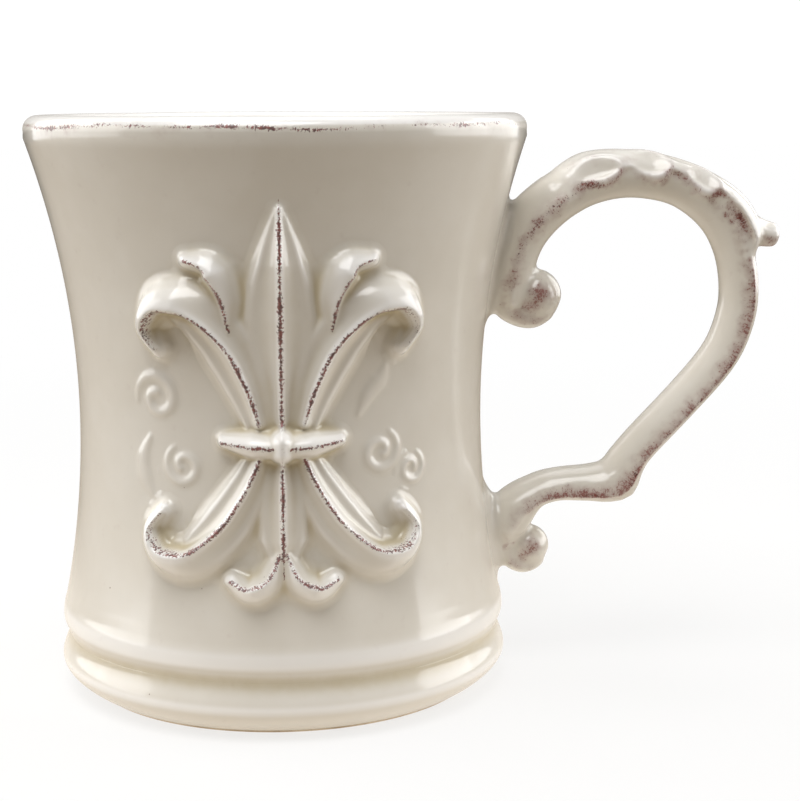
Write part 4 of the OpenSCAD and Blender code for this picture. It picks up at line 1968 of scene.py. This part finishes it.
@dataclass
class Studio:
    """The floor, the light and the camera. Metres."""

    lens: float = 79.8901
    eye: tuple[float, float, float] = (0.0, -0.338108, 0.111101)
    pitch: float = 9.724
    yaw: float = 3.871
    roll: float = -0.2293
    floor_r: float = 4.0
    # strength of the floor's painted bounce glow near the mug
    bounce: float = 0.6
    ground: float = 1.05
    mirrored: float = 0.35
    fill: float = 0.03

    def floor(self) -> None:
        """Lays the plain pale floor, which also glows near the mug as painted bounce light."""
        clear_selection()
        bpy.ops.mesh.primitive_circle_add(
            vertices=96, radius=self.floor_r, fill_type="NGON", location=(0, 0, -0.0002)
        )
        floor = new_piece("floor")
        d = Desk(bpy.data.materials.new("pale_floor"))
        away = d.add("ShaderNodeVectorMath", operation="LENGTH")
        d.feed(away, 0, d.spot)
        away = away.outputs["Value"]
        matte = d.shader("ShaderNodeBsdfDiffuse", {"Color": (0.86, 0.85, 0.83, 1)})
        glow = d.shader("ShaderNodeEmission", {"Color": (1, 1, 1, 1)})
        white = d.plus(d.span(away, 0.06, 0.45, 0.25), 0.75)
        seen = d.shader("ShaderNodeMixShader", {0: white, 1: matte, 2: glow})
        # Painted light: to all but the camera the floor is dull brown and glows near the mug, a hidden bounce
        # light on the plinth and the lower wall that is no lamp.
        dull = d.shader("ShaderNodeBsdfDiffuse", {"Color": (0.30, 0.25, 0.19, 1)})
        near = d.span(away, 0.2, 0.05, self.bounce)
        bounce = d.shader("ShaderNodeEmission", {"Color": (1, 0.96, 0.89, 1), "Strength": near})
        unseen = d.shader("ShaderNodeAddShader", {0: dull, 1: bounce})
        shown = d.add("ShaderNodeLightPath").outputs["Is Camera Ray"]
        d.end(d.shader("ShaderNodeMixShader", {0: shown, 1: unseen, 2: seen}))
        floor.data.materials.append(d.owner)
        floor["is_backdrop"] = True

    def sky(self) -> None:
        """Gives the room a soft even light, and a white ground behind the mug."""
        world = bpy.data.worlds.new("studio")
        bpy.context.scene.world = world
        d = Desk(world)
        ray = d.add("ShaderNodeLightPath").outputs
        strength = d.plus(d.times(ray["Is Glossy Ray"], self.mirrored), self.fill)
        room = d.shader("ShaderNodeBackground", {"Color": (1.0, 0.93, 0.84, 1), "Strength": strength})
        white = d.shader("ShaderNodeBackground", {"Color": (1, 1, 1, 1), "Strength": self.ground})
        sky = d.shader("ShaderNodeMixShader", {0: ray["Is Camera Ray"], 1: room, 2: white})
        d.end(sky, "ShaderNodeOutputWorld")

    def lamps(self) -> None:
        """Hangs the soft boxes."""
        middle = (0.01, 0, 0.055)
        for lamp in (
            Lamp("top_box", (-0.14, -0.30, 0.74), middle, 0.6, 0.5, 4.5),
            Lamp("top_back_box", (-0.10, 0.25, 0.75), middle, 0.7, 0.5, 1.6),
            Lamp("left_box", (-0.76, -0.02, 0.24), middle, 0.5, 0.7, 2.5),
            Lamp("left_back_box", (-0.65, 0.40, 0.30), middle, 0.5, 0.7, 2.2),
            Lamp("right_box", (0.75, -0.02, 0.22), middle, 0.5, 0.7, 3.7),
            Lamp("right_back_box", (0.65, 0.40, 0.25), middle, 0.5, 0.7, 2.3),
        ):
            lamp.hang()

    def camera(self) -> None:
        """Sets up the camera."""
        p, y, r = (math.radians(a) for a in (self.pitch, self.yaw, self.roll))
        ahead = Vector((math.sin(y) * math.cos(p), math.cos(y) * math.cos(p), -math.sin(p)))
        right = Vector((math.cos(y), -math.sin(y), 0))
        up = right.cross(ahead)
        right, up = right * math.cos(r) + up * math.sin(r), up * math.cos(r) - right * math.sin(r)
        bpy.ops.object.camera_add(location=self.eye)
        camera = bpy.context.object
        camera.matrix_world = Matrix.Translation(self.eye) @ Matrix((right, up, -ahead)).transposed().to_4x4()
        camera.data.sensor_width = 36
        camera.data.lens = self.lens
        camera.data.clip_start, camera.data.clip_end = 0.01, 20
        bpy.context.scene.camera = camera

    def set_up(self) -> None:
        """Sets up everything but the mug."""
        self.floor()
        self.sky()
        self.lamps()
        self.camera()
        bpy.context.scene.view_settings.view_transform = "Standard"


def corners() -> list[list[float]]:
    """The shown object's lowest and highest corner, as plain lists."""
    return [list(map(float, corner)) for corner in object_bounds()]


def main() -> None:
    """Builds the mug's pieces in order, then the studio."""
    logging.basicConfig(level=logging.INFO, format="%(message)s")
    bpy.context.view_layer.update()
    shelf = Shelf()
    wall = Wall()
    cup = Cup(wall, height=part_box("cup")[1][2] / MM)
    crest = Crest(wall)
    relief = crest.work()
    shelf.deliver(cup.build(relief), Slot.IVORY, "cup")
    base = Mouldings(cup)
    shelf.deliver(base.bead(), Slot.IVORY, "base_bead")
    shelf.deliver(base.plinth(), Slot.IVORY, "plinth")
    shelf.deliver(base.foot(), Slot.CLAY, "foot_ring")
    for name, piece in Handle(wall).build().items():
        shelf.deliver(piece, Slot.IVORY if name.endswith("slip") else Slot.STAINED, name)
    for name, piece in crest.sheet().build(relief).items():
        shelf.deliver(piece, Slot.IVORY if name.startswith("scroll") else Slot.STAINED, name)
    Studio().set_up()


if __name__ == "__main__":
    main()
